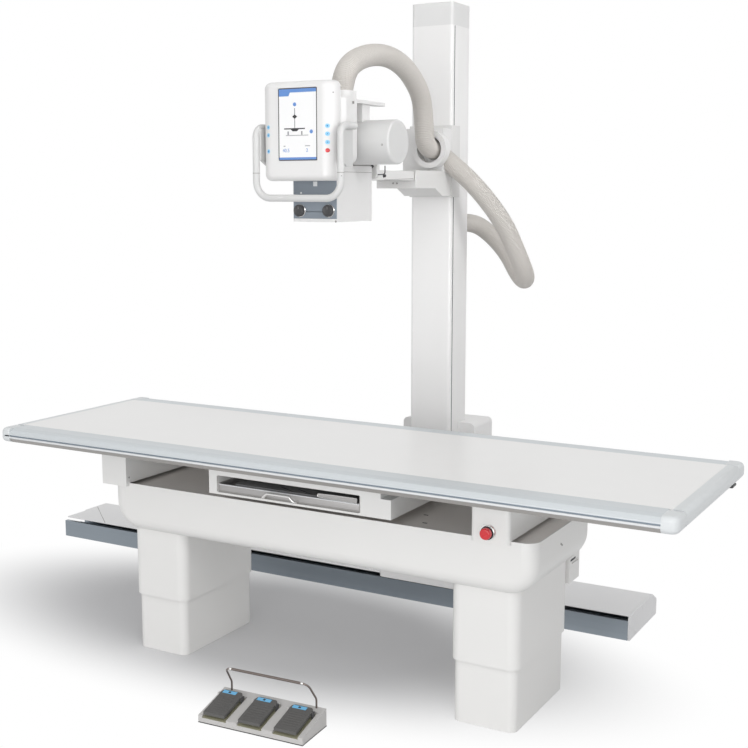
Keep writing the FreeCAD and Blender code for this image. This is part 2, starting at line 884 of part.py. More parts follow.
def edge_rail(name, side):
    """One long edge extrusion, drawn for the right-hand way round and mirrored."""
    piece = new_body(name)
    flip = "" if side > 0 else "-"

    def out(text):
        return "%s(%s + %s)" % (flip, PANEL_HALF, text)

    outline = [
        (out("0 - edge_lip"), "table_top - panel_thick - edge_lip_thick"),
        (out("edge_band - edge_web"), "table_top - panel_thick - edge_lip_thick"),
        (out("edge_band - edge_web"), TABLE_BOTTOM),
        (out("edge_band - edge_chamfer"), TABLE_BOTTOM),
        (out("edge_band"), "edge_strip_bottom"),
        (out("edge_band"), "edge_groove_bottom"),
        (out("edge_band - edge_groove_deep"), "edge_groove_bottom"),
        (out("edge_band - edge_groove_deep"), "edge_groove_top"),
        (out("edge_band"), "edge_groove_top"),
        (out("edge_band"), "table_top - edge_shoulder_drop"),
        (out("edge_band - edge_shoulder * 0.293"), "table_top - edge_shoulder_drop * 0.293"),
        (out("edge_band - edge_shoulder"), "table_top"),
        (out("0"), "table_top"),
        (out("0"), "table_top - panel_thick"),
        (out("0 - edge_lip"), "table_top - panel_thick"),
    ]
    profile(piece, "YZ", outline, (TABLE_LEFT + " + cap_length", TABLE_RIGHT + " - cap_length"))
    core = [out("edge_band - edge_web + edge_lip_thick"), out("edge_band - edge_groove_deep - edge_lip_thick")]
    if side < 0:
        core.reverse()
    block(piece, (TABLE_LEFT, TABLE_RIGHT), core,
          (TABLE_BOTTOM + " + edge_lip_thick", "table_top - edge_shoulder_drop * 0.293 - 2 * edge_lip_thick"),
          cut=True)
    return piece


def tabletop_panel():
    piece = new_body("tabletop_panel")
    block(piece, (TABLE_LEFT + " + end_band", TABLE_RIGHT + " - end_band"),
          ("-" + PANEL_HALF, PANEL_HALF), ("table_top - panel_thick", "table_top"))
    return piece


def end_band(name, side):
    """The band across one end, with a lip that the panel rests on."""
    piece = new_body(name)
    outer = TABLE_LEFT if side < 0 else TABLE_RIGHT + " - end_band"
    block(piece, (outer, outer + " + end_band"), ("-" + PANEL_HALF, PANEL_HALF), (TABLE_BOTTOM, "table_top"))
    middle_x = size("table_shift")
    reach = size("table_length") / 2 - 1
    round_outside(piece, "end_round", lambda spot: abs(spot.x - middle_x) > reach)
    inner = TABLE_LEFT + " + end_band" if side < 0 else TABLE_RIGHT + " - end_band - edge_lip"
    lip_half = PANEL_HALF + " - edge_lip"
    block(piece, (inner, inner + " + edge_lip"), ("-(%s)" % lip_half, lip_half),
          ("table_top - panel_thick - edge_lip_thick", "table_top - panel_thick"))
    return piece


def corner_cap(name, side_x, side_y):
    """A moulded cap over the end of one edge extrusion."""
    piece = new_body(name)
    outer = TABLE_LEFT if side_x < 0 else TABLE_RIGHT + " - cap_length"
    span = ["%d * %s" % (side_y, PANEL_HALF), "%d * table_width / 2" % side_y]
    if side_y < 0:
        span.reverse()
    block(piece, (outer, outer + " + cap_length"), span, (TABLE_BOTTOM, "table_top"))
    middle_x = size("table_shift")
    middle = size("table_width") / 2 - 1
    reach = size("table_length") / 2 - 1
    round_off(piece, "cap_corner", "z",
              lambda spot: abs(spot.x - middle_x) > reach and abs(spot.y) > middle)
    round_outside(piece, "end_round",
                  lambda spot: abs(spot.x - middle_x) > reach - size("cap_corner") or abs(spot.y) > middle)
    return piece


node(tabletop_panel())
node(gather("edge_rails", [edge_rail("edge_rail_front", -1), edge_rail("edge_rail_rear", 1)]))
end_trims = [end_band("end_band_" + side_name, side) for side_name, side in SIDES]
end_trims += [corner_cap("corner_cap_%s_%d" % (side_name, side_y + 2), side, side_y)
              for side_name, side in SIDES for side_y in (-1, 1)]
node(gather("table_end_bands", end_trims))

runners = []
for offset in (-1, 1):
    runner = new_body("table_runner_%d" % (offset + 2))
    runner_y = "(%d * runner_offset)" % offset
    block(runner, (TABLE_LEFT + " + end_band + runner_inset", TABLE_RIGHT + " - end_band - runner_inset"),
          ("%s - runner_width / 2" % runner_y, "%s + runner_width / 2" % runner_y),
          ("saddle_bottom + saddle_thick + rest_gap", "table_top - panel_thick"))
    runners.append(runner)
node(gather("table_runners", runners))

# ---------------------------------------------------------------- bucky, tray and detector
BAY_LEFT = "(bucky_left + bucky_bay_left)"
BAY_RIGHT = "(bucky_left + bucky_bay_left + bucky_bay_length)"
BAY_FLOOR = "(bucky_bottom + bucky_floor)"
BUCKY_FRONT = "(-bucky_depth / 2)"


def bucky_housing():
    """The housing that slides on the bucky rails and takes the cassette tray."""
    piece = new_body("bucky_housing")
    block(piece, ("bucky_left", "bucky_left + bucky_length"),
          (BUCKY_FRONT, "bucky_depth / 2"), ("bucky_bottom", "bucky_top"))
    block(piece, (BAY_LEFT, BAY_RIGHT), (BUCKY_FRONT + " - 1", BUCKY_FRONT + " + bucky_bay_depth"),
          (BAY_FLOOR, "bucky_top - bucky_roof"), cut=True)
    block(piece, ("bucky_left + bucky_length - bucky_notch_length", "bucky_left + bucky_length + 1"),
          (BUCKY_FRONT + " - 1", "bucky_depth / 2 + 1"), ("bucky_top - bucky_notch_drop", "bucky_top + 1"),
          cut=True)
    for end in (-1, 1):
        middle = "(bucky_left + bucky_length / 2 + %d * (bucky_length / 2 - bucky_notch_length - hanger_inset))" % end
        span = ("%s - hanger_length / 2" % middle, "%s + hanger_length / 2" % middle)
        for offset in (-1, 1):
            y = "(%d * bucky_rail_offset)" % offset
            gap_half = "(bucky_rail_width / 2 + slide_gap)"
            block(piece, span, ("%s - %s - hanger_wall" % (y, gap_half), "%s + %s + hanger_wall" % (y, gap_half)),
                  ("bucky_top", "bucky_rail_bottom + bucky_rail_height + rest_gap + hanger_wall"))
            block(piece, ("%s - hanger_length" % middle, "%s + hanger_length" % middle),
                  ("%s - %s" % (y, gap_half), "%s + %s" % (y, gap_half)),
                  ("bucky_rail_bottom - rest_gap", "bucky_rail_bottom + bucky_rail_height + rest_gap"), cut=True)
    return piece


def cassette_tray():
    """The sliding tray with a raised rim at its sides."""
    piece = new_body("cassette_tray")
    front = BUCKY_FRONT + " + tray_set_back"
    left = BAY_LEFT + " + slide_gap"
    right = BAY_RIGHT + " - slide_gap"
    floor = BAY_FLOOR + " + rest_gap"
    block(piece, (left, right), (front, front + " + tray_depth"), (floor, floor + " + tray_thick"))
    for low, high in ((left, left + " + cheek"), (right + " - cheek", right)):
        block(piece, (low, high), (front, front + " + tray_depth"),
              (floor + " + tray_thick", floor + " + tray_thick + detector_thick"))
    return piece


def image_detector():
    piece = new_body("image_detector")
    middle = "(%s + bucky_bay_length / 2)" % BAY_LEFT
    low = BAY_FLOOR + " + rest_gap + tray_thick"
    block(piece, (middle + " - detector_side / 2", middle + " + detector_side / 2"),
          ("-detector_side / 2 - detector_front_gap / 2", "detector_side / 2 - detector_front_gap / 2"),
          (low, low + " + detector_thick"))
    round_off(piece, "cheek", "z")
    return piece


def tray_handle():
    """A bent rod handle: two hooks at the front of the tray, joined by a raised bar."""
    front = -size("bucky_depth") / 2 + size("tray_set_back")
    middle = size("bucky_left") + size("bucky_bay_left") + size("bucky_bay_length") / 2 - size("handle_shift")
    half = size("handle_grip") / 2
    low = size("bucky_bottom") + size("bucky_floor") + size("rest_gap") + size("handle_height")
    high = low + size("handle_rise")
    reach = front - size("handle_reach")
    inside = half - size("handle_step")
    points = [Vector(middle - half, front, low), Vector(middle - half, reach, low),
              Vector(middle - inside, reach, high), Vector(middle + inside, reach, high),
              Vector(middle + half, reach, low), Vector(middle + half, front, low)]
    bend = 2 * size("handle_rod")
    return shape_node("tray_handle", swept_tube(tube_path(points, [bend] * 4), size("handle_rod")))


node(bucky_housing())
node(cassette_tray())
node(image_detector())
node(tray_handle())

# ---------------------------------------------------------------- emergency stop
BLOCK_FRONT = "(-block_depth / 2)"
stop_base = node(new_body("stop_button_base"))
drum(stop_base, "y", ("stop_x", "stop_z"), (BLOCK_FRONT + " - stop_bezel_thick", BLOCK_FRONT), "stop_bezel")
drum(stop_base, "y", ("stop_x", "stop_z"),
     (BLOCK_FRONT + " - stop_bezel_thick - stop_ring_thick", BLOCK_FRONT), "stop_ring")
drum(stop_base, "y", ("stop_x", "stop_z"), (BLOCK_FRONT + " - block_wall", BLOCK_FRONT + " + 1"),
     "stop_stem + bearing_gap", cut=True)

stop_button = node(new_body("stop_button"))
STOP_BACK = BLOCK_FRONT + " - stop_bezel_thick - stop_ring_thick - stop_travel - rest_gap"
drum(stop_button, "y", ("stop_x", "stop_z"), (STOP_BACK + " - stop_head_thick", STOP_BACK), "stop_head")
round_rim(stop_button, "stop_head_thick / 2.4", "y", -1)
drum(stop_button, "y", ("stop_x", "stop_z"), (STOP_BACK + " - 1", BLOCK_FRONT + " + 1.5 * block_wall"),
     "stop_stem")

# ---------------------------------------------------------------- floor rail
TRACK_RIGHT = "rail_right - end_cap_thick"
rail_track = node(new_body("rail_track"))
profile(rail_track, "YZ", [
    ("rail_front", "0"),
    ("rail_back_wall", "0"),
    ("rail_back_wall", "cover_top - cover_sheet"),
    ("rail_back_wall - rail_face", "cover_top - cover_sheet"),
    ("rail_back_wall - rail_face", "rail_floor"),
    ("guide_front + guide_width", "rail_floor"),
    ("guide_front + guide_width", "guide_top"),
    ("guide_front", "guide_top"),
    ("guide_front", "rail_floor"),
    ("rail_front + rail_face", "rail_floor"),
    ("rail_front + rail_face", "rail_lip_bottom"),
    ("rail_lip_back", "rail_lip_bottom"),
    ("rail_lip_back", "rail_lip_top"),
    ("rail_front", "rail_lip_top"),
], ("rail_left", TRACK_RIGHT))

for anchor_x in ("rail_left + rail_anchor_inset", TRACK_RIGHT + " - rail_anchor_inset"):
    for anchor_y in ("rail_anchor_front", "rail_anchor_back"):
        drum(rail_track, "z", (anchor_x, anchor_y), ("-1", "rail_floor + 1"), "rail_anchor_bore", cut=True)

rail_cover = node(new_body("rail_cover"))
profile(rail_cover, "YZ", [
    ("cover_front", "cover_top - cover_sheet"),
    ("cover_front", "cover_top"),
    ("cover_chamfer_y", "cover_top"),
    ("cover_back", "cover_back_top"),
    ("cover_back", "0"),
    ("cover_back - cover_sheet", "0"),
    ("cover_back - cover_sheet", "cover_back_top - cover_sheet * 0.58"),
    ("cover_chamfer_y - cover_sheet * 0.28", "cover_top - cover_sheet"),
], ("rail_left + cover_left_inset", TRACK_RIGHT))

right_cap = new_body("rail_end_cap_right")
profile(right_cap, "YZ", [
    ("rail_front", "0"),
    ("rail_front", "rail_lip_top"),
    ("cover_front", "cover_top"),
    ("cover_chamfer_y", "cover_top"),
    ("cover_back", "cover_back_top"),
    ("cover_back", "0"),
], (TRACK_RIGHT, "rail_right"))
left_cap = new_body("rail_end_cap_left")
profile(left_cap, "YZ", [
    ("rail_back_wall + rest_gap", "0"),
    ("rail_back_wall + rest_gap", "cover_top"),
    ("cover_chamfer_y", "cover_top"),
    ("cover_back", "cover_back_top"),
    ("cover_back", "0"),
], ("rail_left + cover_left_inset - end_cap_thick", "rail_left + cover_left_inset"))
node(gather("rail_end_caps", [left_cap, right_cap]))

# ---------------------------------------------------------------- tube stand
COLUMN_RIGHT = "(column_left + column_width)"
COLUMN_BACK = "(column_front + column_depth)"
COLUMN_X = "(column_left + column_width / 2)"
PLATE_TOP = "(trolley_plate_bottom + trolley_plate_thick)"
PULLEY_Z = "(column_top + pulley_rise)"


def stand_trolley():
    """The steel base plate, its arm through the rail slot and the guide shoe inside."""
    piece = new_body("stand_trolley")
    arm_front = "stand_front + sheet_wall + slide_gap"
    plate_x = ("stand_left + trolley_plate_inset", "stand_right - trolley_plate_inset")
    block(piece, plate_x, (arm_front, "stand_back - trolley_plate_inset"),
          ("trolley_plate_bottom", PLATE_TOP))
    middle = "((stand_left + stand_right) / 2)"
    shoe_x = (middle + " - trolley_block_length / 2", middle + " + trolley_block_length / 2")
    block(piece, shoe_x, (arm_front, arm_front + " + trolley_arm_thick"),
          ("trolley_tongue_bottom", "trolley_plate_bottom"))
    shoe_back = "guide_front + guide_width + 2.5 * cheek"
    tongue_top = "trolley_tongue_bottom + trolley_tongue_thick"
    block(piece, shoe_x, (arm_front, shoe_back), ("trolley_tongue_bottom", tongue_top))
    block(piece, shoe_x, ("guide_front - 2.5 * cheek", shoe_back),
          ("trolley_block_bottom", "trolley_tongue_bottom"))
    block(piece, (middle + " - trolley_block_length", middle + " + trolley_block_length"),
          ("guide_front - slide_gap", "guide_front + guide_width + slide_gap"),
          ("trolley_block_bottom - 1", "guide_top + rest_gap"), cut=True)
    return piece


def stand_base_cover():
    """The painted cover over the trolley, straddling the rail cover."""
    piece = new_body("stand_base_cover")
    block(piece, ("stand_left", "stand_right"), ("stand_front", "stand_back"), ("stand_bottom", "stand_top"))
    round_off(piece, "stand_corner", "z")
    round_rim(piece, "stand_corner / 3", "z", 1)
    hollow(piece, "sheet_wall", "z", -1)
    block(piece, ("stand_left - 1", "stand_right + 1"),
          ("stand_front + stand_corner", "cover_back + sheet_wall * 2"),
          ("stand_bottom - 1", "stand_side_bottom"), cut=True)
    for low, high in (("stand_left - 1", "stand_left + stand_corner"),
                      ("stand_right - stand_corner", "stand_right + 1")):
        block(piece, (low, high), ("stand_front + sheet_wall", "cover_back"),
              ("stand_bottom - 1", "stand_side_bottom"), cut=True)
    block(piece, ("column_left - rest_gap", COLUMN_RIGHT + " + rest_gap"),
          ("column_front - rest_gap", COLUMN_BACK + " + rest_gap"), ("stand_bottom", "stand_top + 1"), cut=True)
    return piece


def column_foot_cover():
    """The tall box behind the column's lower part."""
    piece = new_body("column_foot_cover")
    block(piece, ("foot_left", "foot_right"), ("foot_front", "stand_back"), ("stand_top", "foot_top"))
    round_off(piece, "foot_corner", "y", lambda spot: spot.z > size("foot_top") - 1)
    round_off(piece, "foot_corner / 2", "z", lambda spot: spot.y > size("stand_back") - 1)
    hollow(piece, "sheet_wall", "z", -1)
    block(piece, ("column_left - rest_gap", COLUMN_RIGHT + " + rest_gap"),
          ("foot_front - 1", COLUMN_BACK + " + rest_gap"), ("stand_top - 1", "foot_top + 1"), cut=True)
    return piece


def column():
    """The extruded column with a slotted guide channel on each side."""
    piece = new_body("column")
    block(piece, ("column_left", COLUMN_RIGHT), ("column_front", COLUMN_BACK), (PLATE_TOP, "column_top"))
    round_off(piece, "column_round", "z")
    tall = (PLATE_TOP + " - 1", "column_top + 1")
    block(piece, (COLUMN_X + " - shaft_width / 2", COLUMN_X + " + shaft_width / 2"),
          ("shaft_front", "shaft_front + shaft_depth"), tall, cut=True)
    for side_name, side in SIDES:
        face = "(%s + %d * column_width / 2)" % (COLUMN_X, side)
        slot = ["%s - %d * slot_deep" % (face, side), "%s + %d" % (face, side)]
        channel = ["%s - %d * channel_deep" % (face, side), "%s - %d * slot_deep" % (face, side)]
        if side < 0:
            slot.reverse()
            channel.reverse()
        block(piece, slot, ("slot_front", "slot_front + slot_width"), tall, cut=True)
        block(piece, channel, ("channel_front", "channel_front + channel_width"), tall, cut=True)
    return piece


def column_cap():
    """The cap on the column, hollow for the suspension pulley."""
    piece = new_body("column_cap")
    block(piece, ("column_left", COLUMN_RIGHT), ("column_front", COLUMN_BACK),
          ("column_top", "column_top + cap_height"))
    round_off(piece, "column_round", "z")
    round_rim(piece, "column_round / 4", "z", 1)
    block(piece, (COLUMN_X + " - pulley_width", COLUMN_X + " + pulley_width"),
          ("pulley_y - pulley_radius - 2 * cheek", "pulley_y + pulley_radius + 2 * cheek"),
          ("column_top - 1", PULLEY_Z + " + pulley_radius + cheek / 2"), cut=True)
    drum(piece, "x", ("pulley_y", PULLEY_Z), (COLUMN_X + " - 2 * pulley_width", COLUMN_X + " + 2 * pulley_width"),
         "pulley_axle + bearing_gap", cut=True)
    return piece


node(stand_trolley())
node(stand_base_cover())
node(column_foot_cover())
node(column())
node(column_cap())

pulley = node(new_body("suspension_pulley"))
drum(pulley, "x", ("pulley_y", PULLEY_Z), (COLUMN_X + " - pulley_width / 2", COLUMN_X + " + pulley_width / 2"),
     "pulley_radius")
round_rim(pulley, "pulley_width / 5", "x", 1)
drum(pulley, "x", ("pulley_y", PULLEY_Z), (COLUMN_X + " - 1.9 * pulley_width", COLUMN_X + " + 1.9 * pulley_width"),
     "pulley_axle")

counterweight = node(new_body("counterweight"))
block(counterweight, (COLUMN_X + " - shaft_width / 2 + slide_gap", COLUMN_X + " + shaft_width / 2 - slide_gap"),
      ("shaft_front + slide_gap", "shaft_front + shaft_depth - slide_gap"),
      ("weight_bottom", "weight_bottom + weight_length"))


# ---------------------------------------------------------------- lift carriage
PLATE_BACK = "(column_front - slide_gap)"
PLATE_FRONT = "(column_front - slide_gap - carriage_plate)"


def lift_carriage():
    """The cover plate that wraps the column, with shoes in its guide channels."""
    piece = new_body("lift_carriage")
    height = ("carriage_bottom", "carriage_top")
    block(piece, ("column_left - slide_gap - carriage_side", COLUMN_RIGHT + " + slide_gap + carriage_side"),
          (PLATE_FRONT, PLATE_BACK), height)
    for side_name, side in SIDES:
        face = "(%s + %d * column_width / 2)" % (COLUMN_X, side)
        wrap = ["%s + %d * slide_gap" % (face, side), "%s + %d * (slide_gap + carriage_side)" % (face, side)]
        tongue = ["%s - %d * (slot_deep + cheek)" % (face, side), "%s + %d * slide_gap" % (face, side)]
        shoe = ["%s - %d * (channel_deep - 1)" % (face, side), "%s - %d * (slot_deep + 1)" % (face, side)]
        for span in (wrap, tongue, shoe):
            if side < 0:
                span.reverse()
        block(piece, wrap, (PLATE_FRONT, "carriage_side_back"), height)
        block(piece, tongue, ("slot_front + slide_gap", "slot_front + slide_gap + carriage_tongue"), height)
        block(piece, shoe, ("channel_front + rest_gap", "channel_front + channel_width - rest_gap"), height)
    return piece


def carriage_head():
    """The block on the carriage that the hose passes into above the arm."""
    piece = new_body("carriage_head")
    block(piece, ("head_left", "head_right"), ("head_front", PLATE_FRONT), ("head_bottom", "head_top"))
    drum(piece, "y", ("collar_x", "collar_z"), ("head_front - 1", "head_front + collar_bore_deep"),
         "collar_bore", cut=True)
    return piece


def hose_collar():
    piece = new_body("hose_collar")
    drum(piece, "y", ("collar_x", "collar_z"), ("head_front - collar_length", "head_front"), "collar_outer")
    drum(piece, "y", ("collar_x", "collar_z"), ("head_front - collar_length - 1", "head_front + 1"),
         "collar_inner", cut=True)
    return piece


def arm_outer():
    """The outer arm box, with its sloping chin at the carriage."""
    piece = new_body("arm_outer")
    block(piece, ("arm_left", "arm_right"), ("arm_front", PLATE_FRONT), ("arm_bottom", "head_bottom"))
    profile(piece, "YZ", [
        ("chin_front", "arm_bottom"),
        ("chin_front + chin_slope", "arm_bottom - chin_drop"),
        (PLATE_FRONT, "arm_bottom - chin_drop"),
        (PLATE_FRONT, "arm_bottom"),
    ], ("arm_left", "arm_right"))
    block(piece, ("arm_left + arm_wall", "arm_right - arm_wall"), ("arm_front - 1", PLATE_FRONT + " - arm_wall"),
          ("arm_cavity_bottom", "head_bottom - arm_roof"), cut=True)
    return piece


node(lift_carriage())
node(carriage_head())
node(hose_collar())
node(arm_outer())

# ---------------------------------------------------------------- sliding arm and trunnion
INNER_LEFT = "(arm_left + arm_wall + inner_side_gap)"
INNER_RIGHT = "(arm_right - arm_wall - inner_side_gap)"


def arm_inner():
    """The inner arm box, welded to the trunnion plate that the head turns in."""
    piece = new_body("arm_inner")
    low = "arm_cavity_bottom + rest_gap"
    high = "head_bottom - arm_roof - rest_gap"
    plate_back = "trunnion_front + trunnion_thick"
    block(piece, ("tube_x - trunnion_width / 2", "tube_x + trunnion_width / 2"),
          ("trunnion_front", plate_back), ("trunnion_bottom", "trunnion_top"))
    round_off(piece, "trunnion_round", "y")
    block(piece, (INNER_LEFT, INNER_RIGHT), (plate_back, "inner_back"), (low, high))
    block(piece, (INNER_LEFT + " + inner_wall", INNER_RIGHT + " - inner_wall"), (plate_back, "inner_back + 1"),
          (low + " + inner_wall", high + " - inner_wall"), cut=True)
    drum(piece, "y", ("tube_x", "tube_z"), ("trunnion_front - 1", plate_back + " + 1"),
         "shaft_radius + bearing_gap", cut=True)
    drum(piece, "y", ("lever_x", "lever_z"), ("trunnion_front - 1", plate_back + " + 1"),
         "lever_pin + bearing_gap", cut=True)
    return piece


node(arm_inner())

brake_lever = node(new_body("brake_lever"))
# The lever's own frame has its origin on the pin's axis; at rest the lever leans up to the right.
brake_lever.Placement = FreeCAD.Placement(Vector(), Rotation(Vector(0, 1, 0), -size("lever_angle")))
place(brake_lever, "lever_x", "trunnion_front", "lever_z")
drum(brake_lever, "y", ("0", "0"), ("-rest_gap - lever_thick", "-rest_gap"), "lever_boss")
drum(brake_lever, "y", ("0", "0"), ("-rest_gap - 1", "trunnion_thick - 1"), "lever_pin")
block(brake_lever, ("-lever_length / 2", "lever_length / 2"), ("-rest_gap - lever_thick", "-rest_gap"),
      ("-lever_bar / 2", "lever_bar / 2"))


# ---------------------------------------------------------------- tube head
def tube_housing():
    """The tube's round housing with the port that the collimator hangs from."""
    piece = new_body("tube_housing")
    drum(piece, "x", ("0", "tube_z"), ("tube_left + tube_cap", "tube_right - tube_cap"), "tube_radius")
    drum(piece, "z", ("tube_x", "0"), ("port_bottom", "tube_z"), "port_radius")
    drum(piece, "z", ("tube_x", "0"), ("port_bottom - spigot_length", "tube_z"), "spigot_radius")
    drum(piece, "x", ("0", "tube_z"), ("tube_left", "tube_right"), "tube_radius - tube_wall", cut=True)
    drum(piece, "z", ("tube_x", "0"), ("port_bottom - spigot_length - 1", "tube_z"), "beam_radius", cut=True)
    return piece


def tube_end_cap(name, side):
    """A domed cap with a spigot that closes one end of the housing."""
    piece = new_body(name)
    outer = ("tube_left", "tube_left + tube_cap") if side < 0 else ("tube_right - tube_cap", "tube_right")
    drum(piece, "x", ("0", "tube_z"), outer, "tube_radius")
    round_rim(piece, "tube_cap_round", "x", side)
    inner = ("tube_left + tube_cap - 1", "tube_left + tube_cap + tube_cap_spigot") if side < 0 else \
            ("tube_right - tube_cap - tube_cap_spigot", "tube_right - tube_cap + 1")
    drum(piece, "x", ("0", "tube_z"), inner, "tube_radius - tube_wall - rest_gap")
    return piece


def tube_insert():
    """The glass X-ray tube, held by its stems between the end caps."""
    piece = new_body("xray_tube_insert")
    drum(piece, "x", ("0", "tube_z"), ("tube_x - insert_length / 2", "tube_x + insert_length / 2"), "insert_radius")
    drum(piece, "x", ("0", "tube_z"), ("tube_left + tube_cap + tube_cap_spigot", "tube_right - tube_cap - tube_cap_spigot"),
         "insert_stem")
    return piece


def trunnion_shaft():
    """The shaft that the whole head turns on, welded to a saddle on the housing."""
    piece = new_body("trunnion_shaft")
    half = "shaft_saddle / 2"
    block(piece, ("tube_x - " + half, "tube_x + " + half), ("tube_radius * 0.6", "tube_radius * 1.45"),
          ("tube_z - " + half, "tube_z + " + half))
    drum(piece, "y", ("tube_x", "tube_z"), ("tube_radius * 0.6", "trunnion_front - rest_gap"), "shaft_flange")
    drum(piece, "y", ("tube_x", "tube_z"),
         ("tube_radius * 0.6", "trunnion_front + trunnion_thick + rest_gap + shaft_collar_thick"), "shaft_radius")
    drum(piece, "y", ("tube_x", "tube_z"),
         ("trunnion_front + trunnion_thick + rest_gap",
          "trunnion_front + trunnion_thick + rest_gap + shaft_collar_thick"), "shaft_flange")
    drum(piece, "x", ("0", "tube_z"), ("tube_left", "tube_right"), "tube_radius + bearing_gap", cut=True)
    drum(piece, "z", ("tube_x", "0"), ("port_bottom", "tube_z"), "port_radius + bearing_gap", cut=True)
    return piece


def head_block():
    """The block in front of the tube that carries console and handle."""
    piece = new_body("head_block")
    block(piece, ("tube_x - block_half", "tube_x + block_half"), ("head_block_front", "head_block_back"),
          ("head_block_bottom", "head_block_top"))
    round_off(piece, "head_block_chin", "y", lambda spot: spot.z < size("head_block_bottom") + 1)
    round_off(piece, "head_block_round", "z", lambda spot: spot.y < size("head_block_back") - 1)
    round_off(piece, "head_block_round / 2", "z", lambda spot: spot.y > size("head_block_back") - 1)
    pocket = "(block_half - head_block_round - sheet_wall)"
    block(piece, ("tube_x - " + pocket, "tube_x + " + pocket),
          ("head_block_front - 1", "head_block_back - 2 * sheet_wall"),
          ("head_block_bottom + 5 * sheet_wall", "head_block_top - 2 * sheet_wall"), cut=True)
    half = "trunnion_width * 0.44"
    block(piece, ("tube_x - " + half, "tube_x + " + half), ("head_block_back - 1", "-tube_radius * 0.6"),
          ("tube_z - shaft_saddle / 2", "tube_z + shaft_saddle / 2"))
    drum(piece, "x", ("0", "tube_z"), ("tube_left", "tube_right"), "tube_radius + bearing_gap", cut=True)
    drum(piece, "z", ("tube_x", "0"), ("port_bottom", "tube_z"), "port_radius + bearing_gap", cut=True)
    return piece


# Keys beside the screen: three rows on the left (-1), four on the right (1).
KEYS = [(-1, 1), (-1, 2), (-1, 4), (1, 1), (1, 2), (1, 3), (1, 4)]


def console_housing():
    """The console's rounded housing, with a recess for the screen and a bore behind each key."""
    piece = new_body("console_housing")
    block(piece, ("console_x - console_half", "console_x + console_half"), ("console_front", "head_block_front"),
          ("console_bottom", "console_top"))
    round_off(piece, "console_round", "z", lambda spot: spot.y < size("console_front") + 1)
    skin = round_outside(piece, "console_edge", lambda spot: spot.y < size("head_block_front") - 1)
    block(piece, ("tube_x + screen_x - screen_width / 2 - rest_gap", "tube_x + screen_x + screen_width / 2 + rest_gap"),
          ("console_front - 1", "console_front + screen_thick"),
          ("screen_z - screen_height / 2 - rest_gap", "screen_z + screen_height / 2 + rest_gap"), cut=True)
    for side, number in KEYS:
        drum(piece, "y", ("tube_x + %d * key_offset" % side, "key_row_%d" % number),
             ("console_front - 1", "console_front + key_sink"), "key_radius + bearing_gap", cut=True)
    return piece, skin


def console_screen():
    piece = new_body("console_screen")
    block(piece, ("tube_x + screen_x - screen_width / 2", "tube_x + screen_x + screen_width / 2"),
          ("console_front + rest_gap", "console_front + screen_thick"),
          ("screen_z - screen_height / 2", "screen_z + screen_height / 2"))
    round_off(piece, "screen_thick", "y")
    return piece


def console_keys(skin):
    """Membrane keys, flush with the housing's skin, each with a stem in its bore."""
    keys = []
    for side, number in KEYS:
        start = Vector(size("tube_x") + side * size("key_offset"), size("console_front") - 1,
                       size("key_row_%d" % number))
        stem = Part.makeCylinder(size("key_radius"), size("key_sink") + 1, start, Vector(0, 1, 0))
        keys.append(stem.common(skin.Shape))
    return shape_node("console_keys", Part.Compound(keys))


def steering_handle():
    """The U-shaped handle tube, bent back at its top ends, on a gusset at each side of the head block."""
    middle = size("tube_x")
    half = size("handle_half")
    radius = size("handle_tube")
    front = size("handle_y")
    end = size("handle_end")
    low = size("handle_bottom")
    high = size("handle_top")
    points = [
        Vector(middle - half, end, high), Vector(middle - half, front, high),
        Vector(middle - half, front, low), Vector(middle + half, front, low),
        Vector(middle + half, front, high), Vector(middle + half, end, high),
    ]
    bend = size("handle_bend")
    top_bend = size("handle_top_bend")
    tube = swept_tube(tube_path(points, [top_bend, bend, bend, top_bend]), radius)
    wall = size("block_half")
    thick = size("gusset_thick")
    rim = radius / 2
    drop = high - size("gusset_drop")
    step = drop + size("gusset_slope")
    for side in (-1, 1):
        x = middle + side * wall - (0 if side > 0 else thick)
        outline = [Vector(x, front + rim, high - rim), Vector(x, end, high - rim), Vector(x, end, drop),
                   Vector(x, front + size("gusset_run"), drop), Vector(x, front + rim, step)]
        gusset = Part.Face(Part.makePolygon(outline + outline[:1])).extrude(Vector(thick, 0, 0))
        tube = tube.fuse(gusset)
    return shape_node("steering_handle", tube.removeSplitter())


def fin_handle():
    """The flat grip behind the head block, on a post from the tube housing."""
    piece = new_body("fin_handle")
    right = "fin_left + fin_width"
    block(piece, ("fin_left", right), ("head_block_back", "fin_back"), ("fin_bottom", "fin_bottom + fin_thick"))
    round_off(piece, "fin_round", "z", lambda spot: spot.y > size("fin_back") - 1)
    middle = "(fin_left + fin_width / 2)"
    block(piece, (middle + " - post_width / 2", middle + " + post_width / 2"),
          ("post_front", "post_front + post_depth"), ("tube_z + tube_radius * 0.85", "fin_bottom"))
    drum(piece, "x", ("0", "tube_z"), ("tube_left", "tube_right"), "tube_radius + bearing_gap", cut=True)
    return piece


def hose_bracket():
    piece = new_body("hose_bracket")
    span_x, span_y = box_around("bracket_x", "bracket_y", "bracket_side", "bracket_side")
    block(piece, span_x, span_y, ("head_block_top", "head_block_top + bracket_height"))
    round_off(piece, "bracket_round", "z")
    return piece


def cable_plugs():
    """The two high-voltage plugs at the back of the tube housing."""
    plugs = []
    for number, side in enumerate((-1, 1)):
        plug = new_body("cable_plug_%d" % (number + 1))
        x = "(tube_x + %d * (plug_x - tube_x))" % side
        drum(plug, "y", (x, "tube_z"), ("0", "plug_height"), "plug_radius")
        round_rim(plug, "plug_radius / 3", "y", 1)
        drum(plug, "x", ("0", "tube_z"), ("tube_left", "tube_right"), "tube_radius + bearing_gap", cut=True)
        plugs.append(plug)
    return gather("cable_plugs", plugs)


